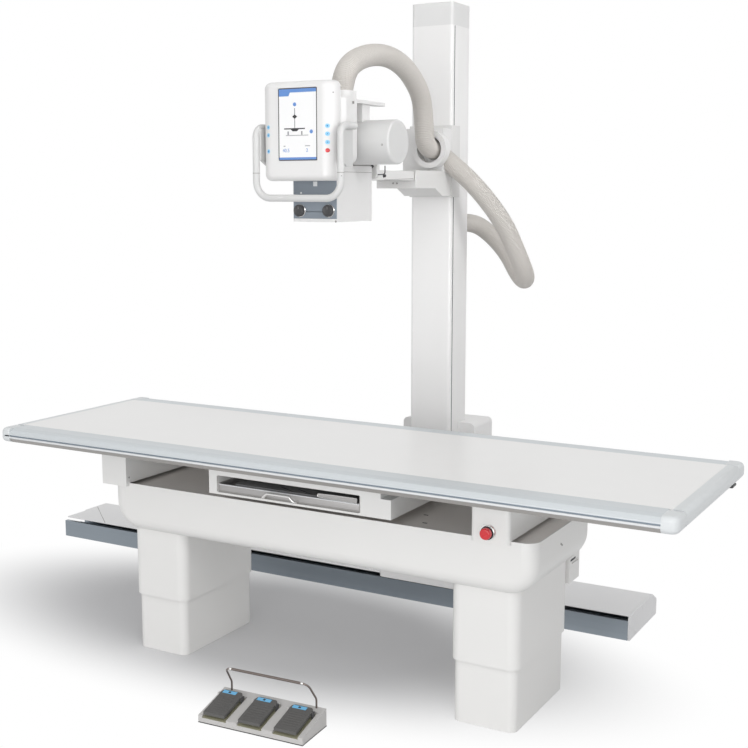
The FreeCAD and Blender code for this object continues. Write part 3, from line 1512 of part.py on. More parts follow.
node(tube_housing())
node(gather("tube_end_caps", [tube_end_cap("tube_end_cap_" + side_name, side) for side_name, side in SIDES]))
node(tube_insert())
node(trunnion_shaft())
node(head_block())
console, console_skin = console_housing()
node(console)
node(console_screen())
node(console_keys(console_skin))
node(steering_handle())
node(fin_handle())
node(hose_bracket())
node(cable_plugs())

# ---------------------------------------------------------------- collimator
COLLIMATOR_FRONT = "(-collimator_side_y / 2)"


def collimator_housing():
    piece = new_body("collimator_housing")
    span_x, span_y = box_around("tube_x", "0", "collimator_side_x", "collimator_side_y")
    inside_x, inside_y = box_around("tube_x", "0", "collimator_side_x - 2 * collimator_wall",
                                    "collimator_side_y - 2 * collimator_wall")
    window_x, window_y = box_around("tube_x", "0", "window_side", "window_side")
    block(piece, span_x, span_y, ("collimator_bottom", "collimator_top"))
    round_off(piece, "collimator_round", "z")
    block(piece, inside_x, inside_y,
          ("collimator_bottom + collimator_wall", "collimator_top - 2 * collimator_wall"), cut=True)
    block(piece, window_x, window_y, ("collimator_bottom - 1", "collimator_bottom + collimator_wall + 1"), cut=True)
    block(piece, span_x, (COLLIMATOR_FRONT + " - front_panel_thick", COLLIMATOR_FRONT + " + collimator_wall"),
          ("collimator_bottom", "front_panel_bottom"))
    drum(piece, "z", ("tube_x", "0"), ("collimator_top - 2 * collimator_wall - 1", "collimator_top + 1"),
         "spigot_radius + bearing_gap", cut=True)
    for side in (-1, 1):
        drum(piece, "y", ("tube_x + %d * knob_offset" % side, "knob_z"),
             (COLLIMATOR_FRONT + " - 1", COLLIMATOR_FRONT + " + collimator_wall + 1"),
             "knob_shaft + bearing_gap", cut=True)
    return piece


def collimator_panel():
    """The front panel, with clearance holes for the two knob shafts."""
    piece = new_body("collimator_panel")
    block(piece, ("tube_x - collimator_side_x / 2", "tube_x + collimator_side_x / 2"),
          (COLLIMATOR_FRONT + " - front_panel_thick", COLLIMATOR_FRONT), ("front_panel_bottom", "front_panel_top"))
    for side in (-1, 1):
        drum(piece, "y", ("tube_x + %d * knob_offset" % side, "knob_z"),
             (COLLIMATOR_FRONT + " - front_panel_thick - 1", COLLIMATOR_FRONT + " + 1"),
             "knob_shaft + slide_gap", cut=True)
    return piece


def collimator_knob(name, side):
    piece = new_body(name)
    centre = ("tube_x + %d * knob_offset" % side, "knob_z")
    back = COLLIMATOR_FRONT + " - front_panel_thick - rest_gap"
    drum(piece, "y", centre, (back + " - knob_length", back), "knob_radius")
    round_rim(piece, "knob_length / 6", "y", -1)
    drum(piece, "y", centre, (back + " - 1", back + " + knob_shaft_length"), "knob_shaft")
    return piece


node(collimator_housing())
node(collimator_panel())
for side_name, side in SIDES:
    node(collimator_knob("collimator_knob_" + side_name, side))

# ---------------------------------------------------------------- hoses
HOSE_FRONT = [Vector(*spot) for spot in (
    (54, -86, 1903), (52.5, -65, 1957), (49, -34, 1993), (44, 21, 2021), (35, 106, 2045), (25, 207, 2059),
    (16, 296, 2061), (12, 340, 2055.5),
)]
HOSE_REAR = [Vector(*spot) for spot in (
    (12, 340, 2055.5), (8, 384, 2050), (0, 466, 2027), (-8, 541, 1990), (-13, 592, 1950),
    (-17, 618, 1893), (-20, 631, 1840), (-24, 646, 1793), (-27, 682, 1765), (-27, 727, 1765),
)]
HOSE_LOOP = [Vector(*spot) for spot in (
    (-8, 757, 1742), (56, 762, 1693), (121, 784, 1628), (177, 818, 1550), (213, 858, 1476), (230, 905, 1399),
    (239, 955, 1332), (235, 1012, 1282), (203, 1078, 1257), (151, 1132, 1282), (100, 1160, 1350),
    (55, 1160, 1402), (10, 1140, 1449), (-19, 1105, 1477), (-43, 1060, 1485), (-75, 1006, 1486),
    (-75, 955, 1486),
)]


def seat_block(low, high):
    """A plain block between two corners, which trims a hose flush with its seat."""
    return Part.makeBox(high.x - low.x, high.y - low.y, high.z - low.z, low)


def hose(label, points, seat=None):
    """A hose along hand-set points; prints its bends and compares its volume."""
    bends = hose_bends(points)
    path = tube_path(points, bends)
    radius = size("hose_width") / 2
    solid = swept_tube(path, radius)
    ideal = math.pi * radius ** 2 * path.Length
    print(label, "length %.0f" % path.Length, "bends", [round(bend) for bend in bends],
          "volume ratio %.4f" % (solid.Volume / ideal))
    if seat:
        solid = solid.cut(seat)
    return shape_node(label, solid)


width = size("hose_width")
bracket_top = Vector(size("bracket_x"), size("bracket_y"), size("head_block_top") + size("bracket_height"))
head_side = Vector(size("head_right"), size("head_front"), size("collar_z"))
node(hose("hose_front", HOSE_FRONT, seat_block(bracket_top - Vector(width, width, width),
                                               bracket_top + Vector(width, width, 0))))
node(hose("hose_rear", HOSE_REAR))
node(hose("hose_loop", HOSE_LOOP, seat_block(head_side - Vector(width, width, 2 * width),
                                             head_side + Vector(0, 2 * width, 2 * width))))

# ---------------------------------------------------------------- foot switch
SWITCH_SLOPE = "((switch_back_height - switch_front_height) / switch_depth)"


def on_floor(piece):
    """Turn and place a foot-switch piece; its own frame starts at the front left corner."""
    piece.Placement = FreeCAD.Placement(Vector(), Rotation(Vector(0, 0, 1), size("switch_angle")))
    place(piece, "switch_x", "switch_y", "0")
    return piece


def pedal_span(number):
    start = "(pedal_first + %d * pedal_pitch)" % number
    return start, start + " + pedal_width"


def slope_height(y):
    """Height of the base's sloping top at a distance from its front edge."""
    return "switch_front_height + (%s) * %s" % (y, SWITCH_SLOPE)


def foot_switch_base():
    """The wedge base: a sloping pocket under each pedal and an ear at each end of its pivot."""
    piece = new_body("foot_switch_base")
    profile(piece, "YZ", [
        ("0", "0"),
        ("0", "switch_front_height - pocket_deep"),
        ("switch_depth", "switch_back_height - pocket_deep"),
        ("switch_depth", "0"),
    ], ("0", "switch_length"))
    walls = ["0"]
    for number in range(3):
        low, high = pedal_span(number)
        walls += [low + " - pocket_left", high + " + pocket_right"]
    walls.append("switch_length")
    for low, high in zip(walls[::2], walls[1::2]):
        profile(piece, "YZ", [
            ("0", "switch_front_height - pocket_deep"),
            ("0", "switch_front_height"),
            ("switch_depth", "switch_back_height"),
            ("switch_depth", "switch_back_height - pocket_deep"),
        ], (low, high))
    profile(piece, "YZ", [
        ("pedal_back + pocket_back", slope_height("pedal_back + pocket_back") + " - pocket_deep"),
        ("pedal_back + pocket_back", slope_height("pedal_back + pocket_back")),
        ("switch_depth", "switch_back_height"),
        ("switch_depth", "switch_back_height - pocket_deep"),
    ], ("0", "switch_length"))
    for number in range(3):
        low, high = pedal_span(number)
        for start in (low + " - ear_gap - ear_thick", high + " + ear_gap"):
            block(piece, (start, start + " + ear_thick"), ("pivot_y - 2 * pivot_radius", "pivot_y + 2 * pivot_radius"),
                  ("switch_front_height", "pivot_z + 2 * pivot_radius"))
    drum(piece, "x", ("pivot_y", "pivot_z"), ("-1", "switch_length + 1"), "pivot_radius + bearing_gap", cut=True)
    for foot in ("bail_inset", "switch_length - bail_inset"):
        drum(piece, "z", (foot, "bail_y"), (slope_height("bail_y") + " - bail_foot", "switch_back_height + 1"),
             "bail_radius + bearing_gap", cut=True)
    return piece


def foot_pedal(number):
    """One treadle with its pivot stubs."""
    piece = new_body("foot_pedal_%d" % (number + 1))
    low, high = pedal_span(number)
    front = slope_height("pedal_front") + " + pedal_front_lift"
    back = slope_height("pedal_back") + " + pedal_back_lift"
    profile(piece, "YZ", [
        ("pedal_front", front),
        ("pedal_front", front + " + pedal_thick"),
        ("pedal_back", back + " + pedal_thick"),
        ("pedal_back", back),
    ], (low, high))
    round_off(piece, "pedal_corner", "z", lambda spot: spot.y > size("pedal_back") - 1)
    drum(piece, "x", ("pivot_y", "pivot_z"), (low + " - pivot_reach", high + " + pivot_reach"), "pivot_radius")
    return on_floor(piece)


def foot_switch_bail():
    """The wire bail over the pedals, with a thicker grip along its top."""
    left = size("bail_inset")
    right = size("switch_length") - left
    back = size("bail_y")
    rise = (size("switch_back_height") - size("switch_front_height")) / size("switch_depth")
    low = size("switch_front_height") + back * rise - size("bail_foot")
    knee = size("bail_knee")
    top = size("bail_top")
    front = back - size("bail_lean")
    step = size("bail_step")
    points = [Vector(left, back, low), Vector(left, back, knee), Vector(left + step, front, top),
              Vector(right - step, front, top), Vector(right, back, knee), Vector(right, back, low)]
    bend = size("bail_round")
    wire = swept_tube(tube_path(points, [bend] * 4), size("bail_radius"))
    grip_start = Vector(left + step + bend, front, top)
    grip = Part.makeCylinder(size("bail_grip"), right - left - 2 * (step + bend), grip_start, Vector(1, 0, 0))
    return on_floor(shape_node("foot_switch_bail", wire.fuse(grip)))


node(on_floor(foot_switch_base()))
for number in range(3):
    node(foot_pedal(number))
node(foot_switch_bail())

# ---------------------------------------------------------------- checks and export
if doc.getObject("Probe"):
    doc.removeObject("Probe")
doc.recompute()
for thing in doc.Objects:
    if "Invalid" in thing.State or "Error" in thing.State:
        raise RuntimeError("%s failed: %s" % (thing.Label, thing.State))
for piece in NODES:
    if piece.Shape.isNull() or not piece.Shape.isValid() or not piece.Shape.Solids:
        raise RuntimeError(piece.Label + " has no valid solid")
for piece in NODES:
    piece.Shape.exportStep("parts/%s.step" % piece.Label)
    box = piece.Shape.BoundBox
    print("%-20s solids %d  x %8.1f %8.1f  y %8.1f %8.1f  z %8.1f %8.1f" % (
        piece.Label, len(piece.Shape.Solids), box.XMin, box.XMax, box.YMin, box.YMax, box.ZMin, box.ZMax))
print(len(NODES), "nodes")
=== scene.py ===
# %% [markdown]
# # Dressing a radiography table
# The real object is an elevating X-ray table with a floating top, and a tube stand on a floor
# rail behind it. The solids come from the CAD model, already in the right place and size. This
# notebook gives them their paint, metal and plastic, and adds the small things that a solid model
# leaves plain: ribs, screws, seams, a display and corrugated hoses. Every piece but the hoses
# rides on one of the model's moving bodies, so the finished scene can be posed.

# %% Load the frame
import json
import math
import bmesh
import bpy
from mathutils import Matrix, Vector

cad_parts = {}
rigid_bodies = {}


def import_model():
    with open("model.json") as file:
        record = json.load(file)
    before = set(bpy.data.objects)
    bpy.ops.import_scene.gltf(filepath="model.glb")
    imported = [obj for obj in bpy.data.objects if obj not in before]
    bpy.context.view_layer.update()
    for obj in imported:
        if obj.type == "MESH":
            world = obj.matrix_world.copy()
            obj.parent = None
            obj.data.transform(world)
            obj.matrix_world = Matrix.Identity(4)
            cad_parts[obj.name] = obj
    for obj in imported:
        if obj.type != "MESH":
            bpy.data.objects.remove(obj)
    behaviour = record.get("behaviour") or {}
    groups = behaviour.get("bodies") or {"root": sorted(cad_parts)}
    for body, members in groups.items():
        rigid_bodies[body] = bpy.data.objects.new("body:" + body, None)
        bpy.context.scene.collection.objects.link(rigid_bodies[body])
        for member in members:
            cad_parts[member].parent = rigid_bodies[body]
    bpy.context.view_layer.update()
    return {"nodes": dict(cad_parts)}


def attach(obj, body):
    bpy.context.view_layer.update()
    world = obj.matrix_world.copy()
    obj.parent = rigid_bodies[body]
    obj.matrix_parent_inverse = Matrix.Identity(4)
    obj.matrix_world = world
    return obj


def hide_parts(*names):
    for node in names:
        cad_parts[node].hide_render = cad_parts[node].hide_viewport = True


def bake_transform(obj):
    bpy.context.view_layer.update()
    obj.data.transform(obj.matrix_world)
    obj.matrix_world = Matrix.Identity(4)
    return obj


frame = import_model()
MM = 0.001        # sizes below are in millimetres, and MM turns them into Blender's metres

# %% [markdown]
# ## The camera
# A camera is placed first, because every later choice is judged through it. It stands at eye
# height in front of the table's right half and looks slightly down. The lens is a mild
# telephoto, so upright edges stay nearly parallel. The small shifts only centre the frame.

# %% Camera
bpy.ops.object.select_all(action="DESELECT")
bpy.ops.object.camera_add(location=(2.0278, -3.3626, 1.6078),
                          rotation=(math.radians(81.67), 0, math.radians(29.59)))
camera = bpy.context.object
camera.data.lens = 57.71
camera.data.sensor_width = 36
camera.data.shift_x = 0.0027
camera.data.shift_y = -0.0089
bpy.context.scene.camera = camera
print("camera lens:", camera.data.lens)

# %% [markdown]
# ## Helpers for modelling
# Blender's operators act on whatever is selected, so each helper first clears the selection.
# `slab` makes a block between two corners, `turned` makes a round piece by extruding and scaling
# a disc, `extruded` draws out a flat outline, and `soften` rounds the edges in edit mode.
# Each finished piece has its object at the origin and its place in its mesh, like the CAD nodes.

# %% Selection helpers
def pick(*pieces):
    """Select only these pieces, the first one active; with none, clear the selection."""
    bpy.ops.object.select_all(action="DESELECT")
    for piece in pieces:
        piece.select_set(True)
    if pieces:
        bpy.context.view_layer.objects.active = pieces[0]


def named(piece, name):
    piece.name = name
    piece.data.name = name
    return piece


def settle(piece):
    """Move the object's place, turn and size into its mesh."""
    pick(piece)
    bpy.ops.object.transform_apply(location=True, rotation=True, scale=True)
    return piece


SHARP, ROUND = 35, 50    # edges that turn by less than this many degrees are shaded smooth


def smooth(piece, angle=SHARP):
    pick(piece)
    bpy.ops.object.shade_smooth_by_angle(angle=math.radians(angle))
    return piece


print("helpers: pick, named, settle, smooth")

# %% Shape helpers, in millimetres
def slab(name, low, high):
    """A block between two corners given in millimetres."""
    low, high = Vector(low) * MM, Vector(high) * MM
    pick()
    bpy.ops.mesh.primitive_cube_add(size=1, location=(low + high) / 2)
    piece = named(bpy.context.object, name)
    piece.scale = high - low
    return settle(piece)


def soften(piece, radius):
    """Round all edges by a radius in millimetres."""
    pick(piece)
    bpy.ops.object.mode_set(mode="EDIT")
    bpy.ops.mesh.select_mode(type="EDGE")
    bpy.ops.mesh.select_all(action="SELECT")
    bpy.ops.mesh.bevel(offset=radius * MM, segments=3, affect="EDGES")
    bpy.ops.object.mode_set(mode="OBJECT")
    return smooth(piece)


TURNS = {"x": (0, math.pi / 2, 0), "y": (math.pi / 2, 0, 0), "z": (0, 0, 0)}


def turned(name, axis, centre, rings, sides=40):
    """A round piece: rings are (radius, distance along the axis) pairs in millimetres.

    Along y the distances run towards the viewer, to -Y."""
    pick()
    radius, start = rings[0]
    bpy.ops.mesh.primitive_circle_add(vertices=sides, radius=radius * MM, fill_type="NGON",
                                      location=(0, 0, start * MM))
    piece = settle(named(bpy.context.object, name))
    bpy.ops.object.mode_set(mode="EDIT")
    bpy.ops.mesh.select_mode(type="FACE")
    for wide, along in rings[1:]:
        bpy.ops.mesh.extrude_region_move(
            TRANSFORM_OT_translate={"value": (0, 0, (along - start) * MM)})
        bpy.ops.transform.resize(value=(wide / radius, wide / radius, 1),
                                 center_override=(0, 0, 0))
        radius, start = wide, along
    bpy.ops.mesh.select_all(action="SELECT")
    bpy.ops.mesh.normals_make_consistent(inside=False)
    bpy.ops.object.mode_set(mode="OBJECT")
    piece.rotation_euler = TURNS[axis]
    piece.location = Vector(centre) * MM
    return smooth(settle(piece))


def extruded(name, axis, outline, start, end):
    """A prism: a closed outline of millimetre pairs, drawn out along x, y or z.

    The pairs are (y, z) for x, (x, z) for y and (x, y) for z."""
    along = "xyz".index(axis)
    pick()
    bpy.ops.mesh.primitive_circle_add(vertices=len(outline), radius=1, fill_type="NGON")
    piece = named(bpy.context.object, name)
    for corner, pair in zip(piece.data.vertices, outline):
        spot = list(pair)
        spot.insert(along, start)
        corner.co = Vector(spot) * MM
    shift = [0, 0, 0]
    shift[along] = end - start
    bpy.ops.object.mode_set(mode="EDIT")
    bpy.ops.mesh.select_all(action="SELECT")
    bpy.ops.mesh.extrude_region_move(TRANSFORM_OT_translate={"value": Vector(shift) * MM})
    bpy.ops.mesh.select_all(action="SELECT")
    bpy.ops.mesh.normals_make_consistent(inside=False)
    bpy.ops.object.mode_set(mode="OBJECT")
    return smooth(piece)


def spline(name, points, steps):
    """A NURBS curve with control points in millimetres and so many steps between two of them."""
    curve = bpy.data.curves.new(name, "CURVE")
    curve.dimensions = "3D"
    curve.resolution_u = steps
    line = curve.splines.new("NURBS")
    line.points.add(len(points) - 1)
    for control, spot in zip(line.points, points):
        control.co = (*(Vector(spot) * MM), 1)
    line.order_u = 3
    line.use_endpoint_u = True
    holder = bpy.data.objects.new(name, curve)
    bpy.context.scene.collection.objects.link(holder)
    return holder


def rod(name, points, radius):
    """A round bar that follows a spline, turned into a mesh."""
    piece = spline(name, points, 8)
    piece.data.bevel_depth = radius * MM
    piece.data.bevel_resolution = 3
    piece.data.use_fill_caps = True
    pick(piece)
    bpy.ops.object.convert(target="MESH")
    return smooth(named(bpy.context.object, name), ROUND)


def copied(piece, name, shift):
    """A copy with its own mesh, moved by millimetres."""
    pick(piece)
    bpy.ops.object.duplicate(linked=False)
    twin = named(bpy.context.object, name)
    twin.location = Vector(shift) * MM
    return settle(twin)


def joined(name, pieces):
    pick(*pieces)
    bpy.ops.object.join()
    return named(pieces[0], name)


print("shapes: slab, soften, turned, extruded, spline, rod, copied, joined")

# %% [markdown]
# ## Shared surface effects
# Paint, brushed metal and moulded plastic differ in how their tiny relief runs. Each effect is a
# node group that is built once and placed in each material. Paint gets a fine orange peel and a
# faint, wide change of tone, brushed metal gets long streaks, and moulded plastic a fine spark
# texture. The groups put out a colour, a roughness and a height, and the shader stays outside.

# %% Node group builder
def new_group(name, extra):
    group = bpy.data.node_groups.new(name, "ShaderNodeTree")
    group.interface.new_socket("Vector", in_out="INPUT", socket_type="NodeSocketVector")
    group.interface.new_socket("Color", in_out="INPUT", socket_type="NodeSocketColor")
    for label, value in {"Roughness": 0.4, "Tone": 0.03, "Spread": 0.08, **extra}.items():
        socket = group.interface.new_socket(label, in_out="INPUT", socket_type="NodeSocketFloat")
        socket.default_value = value
    for label, kind in (("Color", "Color"), ("Roughness", "Float"), ("Height", "Float")):
        group.interface.new_socket(label, in_out="OUTPUT", socket_type="NodeSocket" + kind)
    return group, group.nodes.new("NodeGroupInput"), group.nodes.new("NodeGroupOutput")


def feed(tree, node, values):
    """Fill a node's sockets: with a link from another node's output, or with a plain value."""
    for label, value in values.items():
        if isinstance(value, bpy.types.NodeSocket):
            tree.links.new(value, node.inputs[label])
        else:
            node.inputs[label].default_value = value


def noise(group, vector, scale, detail, rough=0.5):
    node = group.nodes.new("ShaderNodeTexNoise")
    feed(group, node, {"Vector": vector, "Scale": scale, "Detail": detail, "Roughness": rough})
    return node.outputs["Fac"]


def math_node(group, kind, *values):
    node = group.nodes.new("ShaderNodeMath")
    node.operation = kind
    feed(group, node, dict(enumerate(values)))
    return node.outputs[0]


def finish_group(group, give, out, wide, fine):
    """Tone and roughness follow the wide pattern, height follows the fine one."""
    swing = math_node(group, "SUBTRACT", wide, 0.5)
    twice = math_node(group, "MULTIPLY", give.outputs["Tone"], 2.0)
    shade = math_node(group, "MULTIPLY_ADD", swing, twice, 1.0)
    tone = group.nodes.new("ShaderNodeVectorMath")
    tone.operation = "SCALE"
    feed(group, tone, {0: give.outputs["Color"], "Scale": shade})
    spread = math_node(group, "MULTIPLY_ADD", swing, give.outputs["Spread"],
                       give.outputs["Roughness"])
    feed(group, out, {"Color": tone.outputs[0], "Roughness": spread, "Height": fine})


print("group builder ready")

# %% Paint, brushed metal and moulded plastic
def grained(name, label, fineness, clouds, detail):
    """Wide clouds for tone, and a grain whose fineness can be changed where it is used."""
    group, give, out = new_group(name, {label: fineness})
    place = give.outputs["Vector"]
    finish_group(group, give, out, noise(group, place, clouds, 3.0),
                 noise(group, place, give.outputs[label], detail))
    return group


def brushed(name, stretch):
    group, give, out = new_group(name, {"Streak": 900.0})
    drawn = group.nodes.new("ShaderNodeVectorMath")
    drawn.operation = "MULTIPLY"
    feed(group, drawn, {0: give.outputs["Vector"], 1: stretch})
    fine = noise(group, drawn.outputs[0], give.outputs["Streak"], 3.0, 0.6)
    wide = noise(group, drawn.outputs[0], 60.0, 4.0, 0.6)
    finish_group(group, give, out, wide, fine)
    return group


paint_group = grained("PaintSurface", "Peel", 420.0, 2.3, 1.0)
moulded_group = grained("MouldedSurface", "Spark", 1400.0, 9.0, 2.0)
STREAK = 0.02        # the pattern is drawn out to fifty times its width
brushed_x_group = brushed("BrushedAlongX", (STREAK, 1, 1))
brushed_z_group = brushed("BrushedAlongZ", (1, 1, STREAK))
print("groups:", [group.name for group in bpy.data.node_groups])

# %% [markdown]
# ## Materials
# One function wires a material: object coordinates go through the surface group, whose colour
# and roughness feed the Principled shader and whose height feeds a Bump node. What is the same
# all over a surface, such as metalness or coat, is set on the shader's own sockets. Each
# material is kept under its name in PAINTS.

# %% Material function
PAINTS = {}


def finish(name, group, color, rough, metal=0.0, bump=0.02, tone=0.03, spread=0.08, coat=0.0):
    made = bpy.data.materials.new(name)
    made.use_nodes = True
    tree = made.node_tree
    place = tree.nodes.new("ShaderNodeTexCoord")
    surface = tree.nodes.new("ShaderNodeGroup")
    surface.node_tree = group
    feed(tree, surface, {"Vector": place.outputs["Object"], "Color": (*color, 1),
                         "Roughness": rough, "Tone": tone, "Spread": spread})
    relief = tree.nodes.new("ShaderNodeBump")
    feed(tree, relief, {"Height": surface.outputs["Height"], "Strength": bump, "Distance": MM})
    shader = tree.nodes["Principled BSDF"]
    feed(tree, shader, {"Base Color": surface.outputs["Color"],
                        "Roughness": surface.outputs["Roughness"],
                        "Normal": relief.outputs["Normal"],
                        "Metallic": metal, "Coat Weight": coat, "Coat Roughness": 0.15})
    made.diffuse_color = (*color, 1)
    PAINTS[name] = made
    return shader


print("material function ready")

# %% [markdown]
# ## The colours
# The covers are nearly the same white, but painted sheet, moulded plastic and laminate each
# have a tone of their own. The numbers are a linear colour and a roughness.

# %% Paints, plastics and metals
finish("white_paint", paint_group, (0.79, 0.785, 0.77), 0.42, bump=0.04, tone=0.02, coat=0.15)
finish("column_paint", paint_group, (0.84, 0.835, 0.83), 0.42, bump=0.04, tone=0.02)
finish("arm_paint", paint_group, (0.73, 0.725, 0.715), 0.42, bump=0.04, tone=0.02)
finish("cover_paint", paint_group, (0.82, 0.82, 0.825), 0.48, bump=0.05, tone=0.03)
finish("inside_paint", paint_group, (0.80, 0.76, 0.725), 0.6, bump=0.05, tone=0.06)
finish("cap_plastic", moulded_group, (0.74, 0.74, 0.735), 0.45, bump=0.06)
finish("head_white", moulded_group, (0.755, 0.75, 0.745), 0.38, bump=0.05, tone=0.02, coat=0.12)
finish("tube_white", moulded_group, (0.63, 0.63, 0.625), 0.42, bump=0.05, tone=0.02)
finish("head_grey", moulded_group, (0.62, 0.64, 0.66), 0.42, bump=0.06, tone=0.03)
finish("laminate", moulded_group, (0.88, 0.875, 0.865), 0.34, bump=0.02, tone=0.015, coat=0.25)
finish("edge_metal", brushed_x_group, (0.60, 0.635, 0.655), 0.36, metal=0.3, bump=0.03, tone=0.03)
# a pale grey; along the tabletop's edges it is a painted highlight
finish("pale_grey_and_highlight", brushed_x_group, (0.72, 0.73, 0.74), 0.30, bump=0.02, tone=0.02)
finish("edge_shade", brushed_x_group, (0.24, 0.28, 0.33), 0.45, metal=0.3, bump=0.03)
# the slanting underside of the edges: painted shade with a warm painted floor reflection
finish("painted_underside_shade", brushed_x_group, (0.36, 0.345, 0.33), 0.42, metal=0.2, bump=0.03)
finish("band_plastic", moulded_group, (0.70, 0.725, 0.735), 0.40, bump=0.04, tone=0.02)
finish("track_steel", brushed_x_group, (0.26, 0.295, 0.33), 0.34, metal=0.85, bump=0.05,
        tone=0.08, spread=0.15)
finish("machined_steel", brushed_z_group, (0.50, 0.51, 0.52), 0.32, metal=1.0, bump=0.04,
        tone=0.06)
finish("tray_metal", brushed_x_group, (0.40, 0.39, 0.385), 0.38, metal=0.5, bump=0.05, tone=0.08)
finish("bright_steel", brushed_x_group, (0.72, 0.71, 0.70), 0.20, metal=1.0, bump=0.02)
finish("bail_steel", brushed_x_group, (0.20, 0.17, 0.155), 0.30, metal=0.9, bump=0.03, tone=0.08)
finish("blue_grey", moulded_group, (0.215, 0.25, 0.29), 0.34, bump=0.06, tone=0.05, coat=0.2)
finish("dark_plastic", moulded_group, (0.045, 0.045, 0.047), 0.42, bump=0.10)
# a black: real marks and seals, and painted shade inside openings and recesses
finish("black_and_painted_shade", moulded_group, (0.02, 0.022, 0.028), 0.7, bump=0.10)
# a black for painted shade inside the rail and in the groove's open end
finish("painted_slot_shade", moulded_group, (0.012, 0.015, 0.024), 0.30, bump=0.05, coat=0.3)
finish("seam_grey", moulded_group, (0.30, 0.29, 0.28), 0.6, bump=0.05)
finish("detector_grey", moulded_group, (0.21, 0.21, 0.215), 0.45, bump=0.10, coat=0.1)
finish("screen_frame", moulded_group, (0.07, 0.065, 0.07), 0.25, bump=0.03, coat=0.5)
finish("signal_red", moulded_group, (0.62, 0.012, 0.02), 0.28, bump=0.02, coat=0.4)
finish("pedal_rubber", moulded_group, (0.10, 0.098, 0.095), 0.60, bump=0.25, tone=0.08)
finish("pedal_label", moulded_group, (0.17, 0.50, 0.80), 0.35, bump=0.03)
finish("switch_shell", moulded_group, (0.55, 0.54, 0.53), 0.45, bump=0.08, tone=0.04)
finish("olive_well", moulded_group, (0.30, 0.29, 0.20), 0.5, bump=0.08, tone=0.05)
finish("weight_iron", paint_group, (0.12, 0.12, 0.125), 0.6, bump=0.3, tone=0.1)
finish("key_blue", moulded_group, (0.25, 0.58, 0.83), 0.35, bump=0.03)
finish("key_mark", moulded_group, (0.05, 0.22, 0.50), 0.40, bump=0.02)
finish("hose_plastic", moulded_group, (0.555, 0.53, 0.50), 0.5, bump=0.05, tone=0.03)
print("finishes:", len(PAINTS))

# %% [markdown]
# ## Finishes for the CAD nodes
# A node whose shape is already right only needs its material; its own mesh stays as it is.

# %% Assign the finishes
NODE_FINISH = {
    "white_paint": ("leg_covers", "leg_sleeves", "table_casing", "rear_control_box",
                    "support_blocks", "bucky_housing"),
    "column_paint": ("column", "column_foot_cover", "stand_base_cover"),
    "arm_paint": ("lift_carriage", "arm_outer", "arm_inner"),
    "cover_paint": ("rail_cover", "rail_end_caps"),
    "inside_paint": ("casing_deck", "cross_carriage"),
    "cap_plastic": ("column_cap",),
    "head_white": ("head_block", "console_housing", "carriage_head", "fin_handle", "hose_bracket",
                   "collimator_housing", "hose_collar", "trunnion_shaft"),
    "tube_white": ("tube_housing", "tube_end_caps", "steering_handle"),
    "laminate": ("tabletop_panel",),
    "edge_metal": ("edge_rails",),
    "band_plastic": ("table_end_bands",),
    "track_steel": ("rail_track", "guide_rails"),
    "machined_steel": ("lift_bases", "lift_rams", "table_runners", "stand_trolley",
                       "suspension_pulley"),
    "tray_metal": ("cassette_tray",),
    "bright_steel": ("stop_button_base", "tray_handle"),
    "blue_grey": ("collimator_panel",),
    "dark_plastic": ("cable_plugs", "brake_lever", "collimator_knob_left",
                     "collimator_knob_right"),
    "bail_steel": ("foot_switch_bail",),
    "detector_grey": ("image_detector",),
    "screen_frame": ("console_screen",),
    "signal_red": ("stop_button",),
    "pedal_rubber": ("foot_pedal_1", "foot_pedal_2", "foot_pedal_3"),
    "switch_shell": ("foot_switch_base",),
    "weight_iron": ("counterweight",),
    "key_blue": ("console_keys",),
    "head_grey": ("xray_tube_insert",),
}
for paint, names in NODE_FINISH.items():
    for name in names:
        node = frame["nodes"][name]
        node.data.materials.clear()
        node.data.materials.append(PAINTS[paint])
print("nodes with a finish:", sum(len(names) for names in NODE_FINISH.values()))

# %% [markdown]
# ## Placing a piece
# `fit` gives a piece its material and its body in one call.

# %% fit
def fit(piece, body, paint):
    piece.data.materials.clear()
    piece.data.materials.append(PAINTS[paint])
    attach(piece, body)
    return piece


print("fit ready")

# %% [markdown]
# ## The routes of the hoses
# The cables to the X-ray tube run inside a ribbed plastic hose. It leaves the bracket on the
# head and arches over the arm into the collar on the carriage, in two lengths. A third length
# hangs in a loop from the carriage to the back of the column. Each length follows a NURBS spline
# that is drawn towards the route's points. The spline's line is read once, as points at even
# distances, because a mesh on such points has ribs of one size all the way.

# %% Hose routes, in millimetres
HOSE_FRONT = ((54, -86, 1903), (52.5, -65, 1957), (49, -34, 1993), (44, 21, 2021),
              (35, 106, 2045), (25, 207, 2059), (16, 296, 2061), (12, 340, 2055.5))
HOSE_REAR = ((12, 340, 2055.5), (8, 384, 2050), (0, 466, 2027), (-8, 541, 1990),
             (-13, 592, 1950), (-17, 618, 1893), (-20, 631, 1840), (-24, 646, 1793),
             (-27, 682, 1765), (-27, 727, 1765))
HOSE_LOOP = ((-8, 757, 1742), (56, 762, 1693), (121, 784, 1628), (177, 818, 1550),
             (213, 858, 1476), (230, 905, 1399), (239, 955, 1332), (235, 1012, 1282),
             (203, 1078, 1257), (151, 1132, 1282), (100, 1160, 1350), (55, 1160, 1402),
             (10, 1140, 1449), (-19, 1105, 1477), (-43, 1060, 1485), (-75, 1006, 1486),
             (-75, 955, 1486))


def route_line(points):
    """The smooth line of a NURBS spline with these control points, as vectors in metres."""
    holder = spline("route", points, 24)
    bpy.context.view_layer.update()
    line = bpy.data.meshes.new_from_object(holder)
    spots = [vertex.co.copy() for vertex in line.vertices]
    bpy.data.objects.remove(holder)
    return spots


